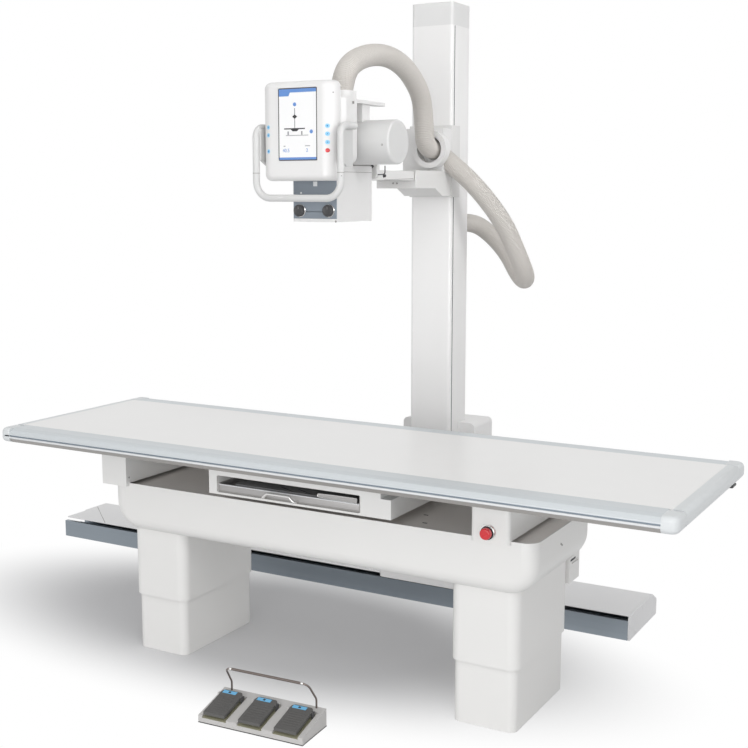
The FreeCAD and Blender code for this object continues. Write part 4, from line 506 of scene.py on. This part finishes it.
def stations(line, step):
    """Points at even distances along a line, each with its direction."""
    lengths = [0.0]
    for before, after in zip(line, line[1:]):
        lengths.append(lengths[-1] + (after - before).length)
    count = round(lengths[-1] / step)
    found = []
    place = 0
    for number in range(count + 1):
        target = lengths[-1] * number / count
        while place < len(line) - 2 and lengths[place + 1] < target:
            place += 1
        share = (target - lengths[place]) / max(lengths[place + 1] - lengths[place], 1e-9)
        start, end = line[place], line[place + 1]
        found.append((start.lerp(end, share), (end - start).normalized()))
    return found, lengths[-1]


print("hose points:", len(HOSE_FRONT), len(HOSE_REAR), len(HOSE_LOOP))

# %% [markdown]
# ## Ribs
# A corrugated hose could be a plain tube with bump, but then its outline would be smooth. So a
# ring of vertices stands on each point of the line, the rings' radius follows the swell of one
# rib over and over, and faces join ring to ring. The mesh stands for the CAD model's plain hose.

# %% Rib the hoses
RIB_PITCH = 6 * MM
HOSE_OUTER = 36 * MM
HOSE_INNER = 34.4 * MM
SWELL = (0.0, 0.42, 0.94, 1.0, 0.94, 0.42)    # one rib, in steps of the pitch
HOSE_SIDES = 36


def ribbed_hose(name, points):
    """A closed tube whose radius swells at every rib."""
    line = route_line(points)
    rows, length = stations(line, RIB_PITCH / len(SWELL))
    turns = [2 * math.pi * step / HOSE_SIDES for step in range(HOSE_SIDES)]
    mesh = bmesh.new()
    side = rows[0][1].orthogonal().normalized()
    rings = []
    for number, (spot, along) in enumerate(rows):
        side = (side - along * side.dot(along)).normalized()
        other = along.cross(side)
        radius = HOSE_INNER + (HOSE_OUTER - HOSE_INNER) * SWELL[number % len(SWELL)]
        rings.append([
            mesh.verts.new(spot + (side * math.cos(turn) + other * math.sin(turn)) * radius)
            for turn in turns])
    for low, high in zip(rings, rings[1:]):
        for step in range(HOSE_SIDES):
            after = (step + 1) % HOSE_SIDES
            mesh.faces.new((low[step], low[after], high[after], high[step]))
    mesh.faces.new(reversed(rings[0]))
    mesh.faces.new(rings[-1])
    data = bpy.data.meshes.new(name)
    mesh.to_mesh(data)
    mesh.free()
    hose = bpy.data.objects.new(name, data)
    bpy.context.scene.collection.objects.link(hose)
    smooth(hose, ROUND)
    hose.data.materials.append(PAINTS["hose_plastic"])
    print(name, "length %.0f mm" % (length / MM), "vertices", len(data.vertices))
    return hose, line, length


hose_front, front_path, front_length = ribbed_hose("ribbed_hose_front", HOSE_FRONT)
hose_rear, rear_path, rear_length = ribbed_hose("ribbed_hose_rear", HOSE_REAR)
hose_loop, loop_path, loop_length = ribbed_hose("ribbed_hose_loop", HOSE_LOOP)
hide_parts("hose_front")
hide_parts("hose_rear")
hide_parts("hose_loop")
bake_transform(hose_front)
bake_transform(hose_rear)
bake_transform(hose_loop)

# %% [markdown]
# ## The hoses' lengths
# The length of each ribbed hose is printed.

print("hose lengths:", round(front_length, 3), round(rear_length, 3), round(loop_length, 3))

# %% [markdown]
# ## Narrow edges on painted sheet
# Real painted or extruded metal never has a perfectly sharp edge. A live Weld joins the loose
# triangles of a CAD node and a live Bevel then cuts a narrow facet along its sharp edges, so each
# edge catches a thin line of light. The node's own mesh isn't touched.

# %% Live bevels on the CAD nodes
def crisp(name, width):
    node = frame["nodes"][name]
    weld = node.modifiers.new("join corners", "WELD")
    weld.merge_threshold = 0.01 * MM
    edge = node.modifiers.new("narrow edge", "BEVEL")
    edge.width = width * MM
    edge.segments = 2
    edge.limit_method = "ANGLE"
    edge.angle_limit = math.radians(40)


CRISP = {
    1.2: ("table_casing", "support_blocks", "bucky_housing", "rear_control_box", "rail_cover",
          "rail_end_caps", "stand_base_cover", "column_foot_cover", "lift_carriage", "arm_outer",
          "arm_inner", "collimator_housing"),
    0.8: ("edge_rails", "table_end_bands", "collimator_panel", "cassette_tray", "rail_track",
          "carriage_head", "hose_bracket", "fin_handle"),
    2.0: ("foot_switch_base", "foot_pedal_1", "foot_pedal_2", "foot_pedal_3"),
}
for width, names in CRISP.items():
    for name in names:
        crisp(name, width)
print("nodes with narrow edges:", sum(len(names) for names in CRISP.values()))

# %% [markdown]
# ## The tabletop's edge extrusions
# The long edges are aluminium extrusions with a groove for accessories. Three thin strips paint
# how
# the light breaks on the real profile: a painted highlight as a bright bead under the groove,
# painted shade on the groove floor, and painted shade with a warm painted reflection on the face
# that slants in below. Each is a prism along the edge. The groove's open end, whose dark inside is
# painted shade, and a rubber stop under the right end are small pieces beside them.

# %% Painted highlight bead, groove shade and slanting face shade
EDGE_LEFT, EDGE_RIGHT = -1139.4, 1191.4
STRIPS = (    # the outlines are drawn for the rear edge and mirrored for the front one
    # a painted highlight under the groove, painted shade on its floor, painted shade on the
    # slanting face
    ("edge_bead_", "pale_grey_and_highlight", ((380.6, 745.2), (381.5, 746.2), (381.5, 750.8), (380.6, 751.8))),
    ("groove_floor_", "edge_shade",
     ((375.9, 752.1), (376.6, 752.3), (376.6, 756.7), (375.9, 756.9))),
    ("slanting_face_", "painted_underside_shade",
     ((366.2, 730.2), (381.4, 744.6), (380.6, 744.9), (366.2, 731.2))),
)
for word, side in (("rear", 1), ("front", -1)):
    for label, paint, outline in STRIPS:
        mirrored = [(side * across, up) for across, up in outline]
        strip = extruded(label + word, "x", mirrored, EDGE_LEFT, EDGE_RIGHT)
        fit(strip, "tabletop", paint)
# painted shade: a black plate for the dark inside of the groove's open end
mouth = extruded("groove_mouth", "y", ((-1161, 752), (-1140, 752), (-1140, 757), (-1161, 757)),
                 -381.4, -380.6)
fit(mouth, "tabletop", "painted_slot_shade")
stop = soften(slab("travel_stop", (1206, 238, 722), (1234, 286, 730.6)), 3)
fit(stop, "tabletop", "dark_plastic")
print("edge strips: 6, groove mouth, travel stop")

# %% [markdown]
# ## Screws
# A small cap screw is turned once: a low dome with a round socket sunk in its middle. Copies of
# it, each with its own mesh, go to every place where a cover is held on.

# %% Cap screws
DOME = ((3.4, -0.4), (3.4, 0.5), (2.9, 1.1), (1.7, 1.3), (1.5, 0.3), (0.4, 0.2))
screw_on_side = turned("screw_casing_1", "x", (794, -26, 551), DOME, 16)
fit(screw_on_side, "lift_frame", "seam_grey")
OTHER_SIDES = (
    ("screw_casing_2", (0, -9, 5.5), "lift_frame", "seam_grey"),
    ("screw_carriage_1", (-786, 882, 81.5), "lift_carriage", "seam_grey"),
    ("screw_carriage_2", (-786, 882, 51), "lift_carriage", "seam_grey"),
    ("screw_end_cap_1", (-4, 883, -474), "root", "cover_paint"),
    ("screw_end_cap_2", (-4, 1004, -531.5), "root", "cover_paint"),
    ("screw_end_cap_3", (-4, 792, -529.5), "root", "cover_paint"),
    ("screw_block", (-1511, -214, 73.6), "lift_frame", "seam_grey"),
)
for name, shift, body, paint in OTHER_SIDES:
    fit(copied(screw_on_side, name, shift), body, paint)
screw_on_front = turned("screw_arm_1", "y", (-80, 505, 1638.2), DOME, 16)
fit(screw_on_front, "lift_carriage", "seam_grey")
OTHER_FRONTS = (
    ("screw_arm_2", (15.6, 0, 0), "lift_carriage", "column_paint"),
    ("screw_tube", (272.7, -573.4, 114), "tube_head", "head_paint"),
    ("screw_panel", (133.2, -620.5, -123), "collimator", "head_paint"),
)
for name, shift, body, slot in OTHER_FRONTS:
    fit(copied(screw_on_front, name, shift), body, "seam_grey")
bracket_screw = soften(slab("bracket_screw", (117, -119, 1876), (118.6, -111, 1884)), 0.5)
fit(bracket_screw, "tube_head", "seam_grey")
print("screws:", 3 + len(OTHER_SIDES) + len(OTHER_FRONTS))

# %% [markdown]
# ## The casing's small openings
# Two cable slots in the deck and one vent in the rear box are only dark mouths at this scale, so
# the
# shade inside each is painted: a thin softened plate of matt black set into the surface.

# %% Deck slots and vent
for name, low, high in (
        ("deck_slot_1", (381, -148, 591.4), (397, -141, 592.3)),
        ("deck_slot_2", (342, -64, 591.4), (358, -57, 592.3)),
        ("box_vent", (734.4, 216, 422), (735.4, 262, 429))):
    # painted shade: a black plate for the shade inside each opening
    fit(soften(slab(name, low, high), 0.3), "lift_frame", "black_and_painted_shade")
print("openings: 3")

# %% [markdown]
# ## Tray, detector and their grips
# The tray's front is a folded sheet with a bright rounded top edge, and along its foot a grey
# strip paints the shade on it. Behind it lies the detector, a dark plate with two slanting marks,
# and at the right a finger plate with a wire rim stands up. Two narrow posts end the bay's mouth.
# They lie on the bay's front face and ride on the bay, so the tray slides out between them.

# %% Tray front and finger plate
TRAY_LEFT, TRAY_RIGHT = -322, 217
tray_front = soften(slab("tray_front", (TRAY_LEFT, -250.4, 626.8), (TRAY_RIGHT, -248.6, 650.6)),
                    0.5)
fit(tray_front, "tray", "tray_metal")
tray_edge = soften(slab("tray_edge", (TRAY_LEFT, -251.4, 649.8), (TRAY_RIGHT, -246.6, 653.4)), 1.4)
fit(tray_edge, "tray", "pale_grey_and_highlight")
FINGER = ((66, 655), (62, 659), (62, 665), (66, 669), (206, 669), (206, 655))
finger_plate = extruded("finger_plate", "y", FINGER, -248, -246)
fit(finger_plate, "tray", "tray_metal")
finger_rim = rod("finger_rim", [(206, -248, 669), (66, -248, 669.5), (60.5, -248, 662),
                                (66, -248, 654.5), (206, -248, 655)], 1.5)
fit(finger_rim, "tray", "bright_steel")
for number, left in enumerate((-119, -48)):
    stripe = ((left, -194), (left + 7, -194), (left + 80, -229), (left + 73, -229))
    mark = extruded("detector_mark_%d" % (number + 1), "z", stripe, 655.6, 656.3)
    fit(mark, "tray", "black_and_painted_shade")
BAY_WIDTH = 544.2
post = slab("bay_post_left", (-325.8, -255.5, 628), (-323.2, -254.6, 680))
fit(post, "bucky", "seam_grey")
fit(copied(post, "bay_post_right", (BAY_WIDTH, 0, 0)), "bucky", "seam_grey")
# painted shade: a grey strip darkens the tray front along its foot
foot = slab("tray_foot", (TRAY_LEFT, -250.7, 626.8), (TRAY_RIGHT, -249.9, 632))
fit(foot, "tray", "seam_grey")
print("tray pieces: 9")

# %% [markdown]
# ## Shade in the rail, seals of the column
# A black sheet on the rail's back wall is painted shade, which makes the slot between the steel
# front and the cover read as black. Near its left end the cover has a slanting joint, drawn as a
# hair-thin dark prism. The column's two long slots have seals: a dark strip lies on the rear wall
# of each.

# %% Painted rail shade, column seals and joint
# painted shade: a black sheet on the rail's back wall darkens the slot
liner = slab("rail_seal_wall", (-1938, 834.6, 9), (781, 835.9, 88))
fit(liner, "root", "painted_slot_shade")
JOINT = ((-1934, 909), (-1931, 909), (-1703, 709.4), (-1706.5, 709.4))
joint = extruded("cover_joint", "z", JOINT, 92.6, 93.25)
fit(joint, "root", "seam_grey")
SEAL_WIDTH = 7.75
for name, left in (("column_seal_right", 3.2), ("column_seal_left", -161.95)):
    seal = slab(name, (left, 822.2, 300), (left + SEAL_WIDTH, 822.9, 2225))
    fit(seal, "stand", "black_and_painted_shade")
print("rail and column seals: 4")

# %% [markdown]
# ## The arm's release
# A groove runs along the telescoping arm, with a small knob and a bent wire that lead to the
# brake. The wire is a NURBS curve with a round bevel, turned into a mesh.

# %% Groove, knob and wire
groove = extruded("arm_groove", "x", ((285, 1647.4), (285, 1649.2), (500, 1655.2), (500, 1653.4)),
                  4.7, 5.25)
fit(groove, "arm", "seam_grey")
knob = turned("release_knob", "x", (5, 281, 1662),
              ((6.4, -0.5), (6.4, 1.5), (5.2, 2.2), (5.2, 6.5), (4.2, 7.6)), 24)
fit(knob, "arm", "dark_plastic")
wire = rod("release_wire", [(48, 150, 1664), (57, 152, 1664), (60, 176, 1665), (60, 190, 1668),
                            (60, 191, 1676), (60, 191, 1694)], 1.8)
fit(wire, "arm", "dark_plastic")
print("release: 3 pieces")

# %% [markdown]
# ## Joints of the steering handle
# The handle's tube is put together from three lengths. A slightly wider dark ring marks each
# joint, and a small screw below it locks the tube.

# %% Handle joints
HANDLE_SPAN = 310.6
ring = turned("handle_joint_right", "z", (130.3, -212, 1664.6),
              ((10.6, 0), (11.25, 0.3), (11.25, 2.0), (10.6, 2.3)))
fit(ring, "tube_head", "seam_grey")
fit(copied(ring, "handle_joint_left", (-HANDLE_SPAN, 0, 0)), "tube_head", "seam_grey")
lock = turned("handle_lock", "y", (137.5, -220.2, 1655.5),
              ((1.9, -0.6), (1.9, 0.4), (1.2, 0.8)), 14)
fit(lock, "tube_head", "seam_grey")
print("handle joints: 3")

# %% [markdown]
# ## The console's display
# The display is a lit page behind its frame, with a plain drawing of a stand over a table, two
# marks and two readings. Every shape is a thin prism a hair in front of the one before it. The
# page glows a little through its own Emission socket.

# %% Page, bars and drawing
def inked(name, color, glow=0.0):
    shader = finish(name, moulded_group, color, 0.30, bump=0.01, tone=0.01, coat=0.3)
    shader.inputs["Emission Color"].default_value = (*color, 1)
    shader.inputs["Emission Strength"].default_value = glow


inked("page_white", (0.82, 0.82, 0.82), 0.08)
inked("page_blue", (0.11, 0.25, 0.58), 0.03)
inked("page_black", (0.02, 0.02, 0.022))
inked("page_grey", (0.30, 0.30, 0.31))
GLASS_Y = -214.7
LAYER, INK = 0.15, 0.3    # how far each layer lies before the last, and a shape's thickness
PAGE_X = 2.4              # how far the drawing is moved right, on to the screen
PAGE_LEFT, PAGE_RIGHT, PAGE_LOW, PAGE_HIGH = -92.5, 42.5, 1706, 1919.5


def on_page(name, outline, layer, paint):
    front = GLASS_Y - LAYER * layer
    outline = [(across + PAGE_X, high) for across, high in outline]
    piece = extruded(name, "y", outline, front, front + INK)
    return fit(piece, "tube_head", paint)


def box_outline(left, right, low, high):
    return (left, low), (right, low), (right, high), (left, high)


on_page("page", box_outline(PAGE_LEFT, PAGE_RIGHT, PAGE_LOW, PAGE_HIGH), 1, "page_white")
HEADER = ((PAGE_LEFT, PAGE_HIGH), (PAGE_RIGHT, PAGE_HIGH), (PAGE_RIGHT, 1909), (-52, 1909),
          (-57, 1898), (PAGE_LEFT, 1898))
on_page("page_header", HEADER, 2, "page_blue")
on_page("page_footer", box_outline(PAGE_LEFT, PAGE_RIGHT, PAGE_LOW, 1713), 2, "page_blue")
on_page("drawn_column", box_outline(-36.5, -33.5, 1800, 1862), 2, "page_grey")
on_page("drawn_head", ((-44, 1836), (-35, 1829), (-26, 1836), (-35, 1843)), 3, "page_black")
on_page("drawn_top", box_outline(-74, 2, 1798, 1801.5), 3, "page_black")
on_page("drawn_casing", ((-50, 1798), (-20, 1798), (-27, 1792), (-43, 1792)), 3, "page_black")
for number, left in enumerate((-62, -12)):
    on_page("drawn_leg_%d" % (number + 1), box_outline(left, left + 5, 1781, 1792), 2, "page_grey")
on_page("drawn_floor", box_outline(-68, 14, 1778.5, 1780.5), 2, "page_grey")
shown = [piece for piece in bpy.data.objects if piece.name.startswith(("page", "drawn"))]
print("page pieces:", len(shown))

# %% Marks and readings
def page_dot(name, across, up, wide, paint):
    turns = [step * math.pi / 10 for step in range(20)]
    outline = [(across + wide * math.cos(turn), up + wide * math.sin(turn)) for turn in turns]
    on_page(name, outline, 3, paint)


page_dot("page_mark_top", -35, 1873, 6, "page_blue")
page_dot("page_mark_side", 25, 1790, 6, "page_blue")
for number, (left, right) in enumerate(((-77, -70), (2, 20))):
    on_page("page_label_%d" % (number + 1), box_outline(left, right, 1746, 1748.5), 2, "page_grey")


def reading(name, words, across, up, tall):
    """A number in Blender's own plain face, filled, made a mesh and stood on the page."""
    pick()
    bpy.ops.object.text_add(location=(across * MM, (GLASS_Y - 0.5) * MM, up * MM),
                            rotation=(math.pi / 2, 0, 0))
    text = bpy.context.object
    text.data.body = words
    text.data.size = tall * MM
    text.data.extrude = 0.1 * MM
    bpy.ops.object.convert(target="MESH")
    text = named(bpy.context.object, name)
    return fit(settle(text), "tube_head", "page_blue")


reading("reading_left", "40.5", -78, 1729, 15)
reading("reading_right", "2", 8, 1729, 15)
print("readings: 2")

# %% [markdown]
# ## The console's keys
# The membrane keys lie flush in a skin that curves away at both edges. A merged copy of the CAD
# keys stands for them, because one of them is red: faces take their colour by place. Each blue
# key also gets a small plain sign, which is turned to lie on the curved skin. A ray from the
# front finds the skin and its slope.

# %% Key caps
source = frame["nodes"]["console_keys"]
caps = bpy.data.objects.new("key_caps", source.data.copy())
caps.data.name = "key_caps"
bpy.context.scene.collection.objects.link(caps)
pick(caps)
bpy.ops.object.mode_set(mode="EDIT")
bpy.ops.mesh.select_all(action="SELECT")
bpy.ops.mesh.remove_doubles(threshold=0.01 * MM)
bpy.ops.object.mode_set(mode="OBJECT")
fit(caps, "tube_head", "key_blue")
caps.data.materials.append(PAINTS["signal_red"])
RED_KEY_TOP = 1.744        # the red key is the lowest one at the right
for face in caps.data.polygons:
    face.material_index = 1 if face.center.x > 0 and face.center.z < RED_KEY_TOP else 0
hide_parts("console_keys")
smooth(caps)
red_cap = [face.material_index for face in caps.data.polygons].count(1)
print("key cap faces:", len(caps.data.polygons), "red:", red_cap)

# %% Signs on the keys
SIGNS = {
    "up": ((-2.6, -1.6), (2.6, -1.6), (0, 2.8)),
    "down": ((-2.6, 1.6), (0, -2.8), (2.6, 1.6)),
    "block": ((-2.3, -2.3), (2.3, -2.3), (2.3, 2.3), (-2.3, 2.3)),
    "slant": ((-2.8, -1.4), (-1.4, -2.8), (2.8, 1.4), (1.4, 2.8)),
}
KEYS = (("up", -132, 1806), ("down", -132, 1782), ("block", -132, 1732.5),
        ("block", 82, 1806), ("slant", 82, 1782), ("up", 82, 1757))
for number, (sign, across, up) in enumerate(KEYS):
    before = Vector((across * MM, -0.4, up * MM))
    spot, slope = caps.ray_cast(before, Vector((0, 1, 0)))[1:3]
    turn = math.atan2(slope.x, -slope.y)
    piece = extruded("key_sign_%d" % (number + 1), "y", SIGNS[sign], -0.35, 0.6)
    piece.rotation_euler = (0, 0, turn)
    piece.location = spot
    fit(settle(piece), "tube_head", "key_mark")
    print("key sign", number + 1, "slope %.0f degrees" % math.degrees(turn))
eye = turned("light_sensor", "y", (95.5, -198.3, 1905.5), ((2.2, -1), (2.2, 0.6), (1.2, 1.2)), 16)
fit(eye, "tube_head", "seam_grey")

# %% [markdown]
# ## The collimator's front
# Each knob sits in a bright collar and has a grooved grip, which is a toothed outline drawn out
# along its axis, with a small pointer line on its face. The panel carries a light window and a
# light spot, a fine joint runs down each side of the housing's top, and the beam leaves through
# a dark window underneath.

# %% Knobs
def toothed(teeth, high, low):
    """An outline whose radius steps between two values, tooth by tooth."""
    outline = []
    for step in range(teeth * 4):
        radius = high if step % 4 < 2 else low
        turn = step * math.pi / teeth / 2
        outline.append((math.cos(turn) * radius, math.sin(turn) * radius))
    return outline


KNOB_Z = 1548.4
for word, across in (("left", -79), ("right", 29)):
    collar = turned("knob_collar_" + word, "y", (across, -115.5, KNOB_Z),
                    ((20.6, -0.2), (20.6, 3.2), (19.6, 4.6), (17.0, 4.8)), 48)
    fit(collar, "collimator", "bright_steel")
    outline = [(across + wide, KNOB_Z + up) for wide, up in toothed(28, 19.0, 18.2)]
    grip = extruded("knob_grip_" + word, "y", outline, -127.2, -120.6)
    fit(grip, "knob_" + word, "dark_plastic")
    face = turned("knob_face_" + word, "y", (across, -128.6, KNOB_Z),
                  ((15.6, -0.3), (15.6, 0.5), (14.6, 0.9), (13.8, 0.4), (2.0, 0.3)), 40)
    fit(face, "knob_" + word, "dark_plastic")
    pointer = slab("knob_pointer_" + word, (across - 0.6, -129.4, 1553),
                   (across + 0.6, -128.6, 1562))
    fit(soften(pointer, 0.2), "knob_" + word, "seam_grey")
print("knob pieces: 8")

# %% Window and joint
window = soften(slab("light_window", (-30, -116.1, 1625), (-15, -115.2, 1640)), 0.4)
fit(window, "collimator", "pale_grey_and_highlight")
spot = turned("light_spot", "y", (-76, -115.5, 1604), ((3.2, -0.3), (3.2, 0.4), (2.4, 0.6)), 20)
fit(spot, "collimator", "pale_grey_and_highlight")
for name, across in (("housing_joint_right", 55.3), ("housing_joint_left", -105.75)):
    joint = slab(name, (across, -108, 1669.4), (across + 0.45, 108, 1670.8))
    fit(joint, "collimator", "seam_grey")
exit_window = soften(slab("exit_window", (-88, -78, 1512.4), (38, 78, 1513.4)), 0.4)
fit(exit_window, "collimator", "screen_frame")
print("collimator pieces: 5")

# %% [markdown]
# ## The emergency stop
# Round the red head the bright bezel has a recess, whose shade is painted as a thin dark ring.

# %% Painted shade ring in the recess
# painted shade: a thin black ring for the shade in the bezel's recess
recess = turned("stop_recess", "y", (652, -264, 627.5),
                ((20.5, -0.3), (20.5, 0.5), (19.0, 0.6)), 48)
fit(recess, "lift_frame", "black_and_painted_shade")
print("recess ring done")

# %% [markdown]
# ## The foot switch
# Each pedal lies in an olive well and has a blue label near its back edge, with a plain sign on
# it, and shallow ribs against slipping. A cover beside it hides its pivot. The bail's bends sit in
# bright ferrules, and a dark plate under the shell paints its contact shadow on the floor. The
# pieces are drawn in the switch's own frame, whose corner is the front left one, and then turned
# and moved with it.

# %% Wells, labels and ribs
SWITCH_CORNER = Vector((-152, -601, 0)) * MM
SWITCH_TURN = math.radians(3.3)
SHELL_FRONT = 24                  # height of the shell at its front edge
RISE = 33 / 148                   # how much it rises on the way back
PEDAL_RISE = RISE + 4 / 113       # a pedal rises faster, since its back is lifted more
PEDAL_FRONT, PEDAL_LIFT, PEDAL_THICK = 4, 2, 9


def on_switch(piece):
    """Turn and move a piece from the switch's own frame into the model's."""
    piece.rotation_euler = (0, 0, SWITCH_TURN)
    piece.location = SWITCH_CORNER
    return settle(piece)


def pedal_top(back):
    """Height of a pedal's top at a distance from the switch's front."""
    start = SHELL_FRONT + PEDAL_FRONT * RISE + PEDAL_LIFT + PEDAL_THICK
    return start + (back - PEDAL_FRONT) * PEDAL_RISE


def lying(name, start, end, left, right, lift, thick):
    """A thin plate that follows the pedal's slope between two distances."""
    low, high = pedal_top(start) + lift, pedal_top(end) + lift
    outline = ((start, low), (end, high), (end, high - thick), (start, low - thick))
    return extruded(name, "x", outline, left, right)


FIRST_PEDAL, PEDAL_PITCH = 16, 125
WELL_BACK, WELL_FLOOR = 122, 17
floor_front, floor_back = WELL_FLOOR + RISE, WELL_FLOOR + WELL_BACK * RISE
WELL = ((0.6, floor_front), (WELL_BACK, floor_back + 0.5), (WELL_BACK, floor_back - 1),
        (0.6, floor_front - 1))
for number in range(3):
    left = FIRST_PEDAL + PEDAL_PITCH * number
    name = "_%d" % (number + 1)
    well = extruded("well" + name, "x", WELL, left - 2.8, left + 83.8)
    fit(on_switch(well), "root", "olive_well")
    body = "pedal_%d" % (number + 1)
    label = lying("label" + name, 101, 114, left + 6, left + 54, 0.5, 1.2)
    fit(on_switch(label), body, "pedal_label")
    sign = lying("label_sign" + name, 104, 111, left + 26, left + 34, 0.9, 0.8)
    fit(on_switch(sign), body, "page_black")
    ribs = [lying("rib%s_%d" % (name, step), back, back + 2, left + 8, left + 68, 0.6, 1.2)
            for step, back in enumerate(range(20, 90, 10))]
    fit(on_switch(joined("ribs" + name, ribs)), body, "pedal_rubber")
    cover = slab("pivot_cover" + name, (left + 76.9, 93.4, 34), (left + 83.6, 106.6, 61.6))
    fit(on_switch(soften(cover, 1.5)), "root", "dark_plastic")
BAIL_BENDS = (56, 310)
for number, across in enumerate(BAIL_BENDS):
    ferrule = turned("bail_ferrule_%d" % (number + 1), "x", (across - 4, 99, 145),
                     ((4.4, 0), (4.8, 0.6), (4.8, 7.4), (4.4, 8)), 24)
    fit(on_switch(ferrule), "root", "bright_steel")
# painted shadow: a dark plate just larger than the shell, lying on the floor
sole = slab("switch_sole", (-0.6, -0.6, 0.1), (366.6, 148.6, 3))
fit(on_switch(sole), "root", "dark_plastic")
print("foot switch pieces: 18")

# %% [markdown]
# ## The stage
# A pale floor and a soft sky light show the object plainly. The floor takes the object's shadow
# near it. Further out it fades, over a wide ellipse, to pure white for the camera and for
# reflections, so that no horizon cuts through the picture. The fade is worked out from the
# floor's own coordinates: their distance from a point under the object, squeezed along y.

# %% Floor
def straight_rays(tree):
    """1 for the camera, in reflections and through glass, and 0 for the light on the object."""
    rays = tree.nodes.new("ShaderNodeLightPath")
    passed_on = math_node(tree, "MAXIMUM", rays.outputs["Is Glossy Ray"],
                          rays.outputs["Is Transmission Ray"])
    return math_node(tree, "MAXIMUM", rays.outputs["Is Camera Ray"], passed_on)


pick()
bpy.ops.mesh.primitive_plane_add(size=60, location=(0, 0, -0.0005))
floor = settle(bpy.context.object)
floor.name = "studio_floor"
floor_paint = bpy.data.materials.new("studio_floor")
floor_paint.use_nodes = True
tree = floor_paint.node_tree
shader = tree.nodes["Principled BSDF"]
feed(tree, shader, {"Base Color": (0.66, 0.66, 0.67, 1), "Roughness": 0.9,
                    "Specular IOR Level": 0.1})
place = tree.nodes.new("ShaderNodeTexCoord")
squeeze = tree.nodes.new("ShaderNodeMapping")
HALF_LONG, HALF_WIDE = 1.75, 0.8        # the ellipse's half axes in metres
feed(tree, squeeze, {"Vector": place.outputs["Object"], "Location": (0.257, -0.25, 0),
                     "Scale": (1 / HALF_LONG, 1 / HALF_WIDE, 0)})
reach = tree.nodes.new("ShaderNodeVectorMath")
reach.operation = "LENGTH"
feed(tree, reach, {0: squeeze.outputs["Vector"]})
fade = tree.nodes.new("ShaderNodeMapRange")
fade.interpolation_type = "SMOOTHSTEP"
feed(tree, fade, {"Value": reach.outputs["Value"], "From Min": 0.4, "From Max": 0.97})
share = math_node(tree, "MULTIPLY", fade.outputs["Result"], straight_rays(tree))
white = tree.nodes.new("ShaderNodeEmission")
mix = tree.nodes.new("ShaderNodeMixShader")
feed(tree, mix, {0: share, 1: shader.outputs[0], 2: white.outputs[0]})
feed(tree, tree.nodes["Material Output"], {"Surface": mix.outputs[0]})
floor.data.materials.append(floor_paint)
print("floor ready")

# %% [markdown]
# ## Sky and lamps
# The object is nearly white on white, so only shading shows it. An even sky lights every side a
# little, while the camera sees pure white behind the object. Area lamps then make the sides
# differ: a key from above, two low ones from the front and the right, and a narrow one that
# lifts the head. Wide lamps keep the shadows soft.

# %% World and lamps
world = bpy.data.worlds.new("studio")
bpy.context.scene.world = world
world.use_nodes = True
tree = world.node_tree
sky = tree.nodes["Background"]
feed(tree, sky, {"Color": (1, 1, 1, 1), "Strength": 0.62})
white = tree.nodes.new("ShaderNodeBackground")
feed(tree, white, {"Color": (1, 1, 1, 1), "Strength": 1.0})
mix = tree.nodes.new("ShaderNodeMixShader")
feed(tree, mix, {0: straight_rays(tree), 1: sky.outputs[0], 2: white.outputs[0]})
feed(tree, tree.nodes["World Output"], {"Surface": mix.outputs[0]})


def soft_lamp(name, place, aim, wide, power):
    pick()
    bpy.ops.object.light_add(type="AREA", location=place)
    lamp = bpy.context.object
    lamp.name = name
    lamp.data.size = wide
    lamp.data.energy = power
    lamp.rotation_euler = (Vector(aim) - Vector(place)).to_track_quat("-Z", "Y").to_euler()
    return lamp


soft_lamp("key_lamp", (3.0, -3.5, 6.0), (0, 0.2, 0.8), 4.0, 78)
soft_lamp("front_lamp", (0.3, -5.0, 0.9), (0, 0, 0.7), 3.0, 80)
soft_lamp("corner_lamp", (3.5, -4.5, 1.0), (0, 0, 0.7), 3.0, 57)
high_lamp = soft_lamp("high_lamp", (3.9, -0.9, 2.9), (0.1, 0.4, 2.0), 1.6, 3.6)
high_lamp.data.spread = math.radians(36)
bpy.context.scene.view_settings.view_transform = "Standard"
print("stage ready")

# %% [markdown]
# ## Finishing
# The last step updates the view layer.

# %% Finish
bpy.context.view_layer.update()
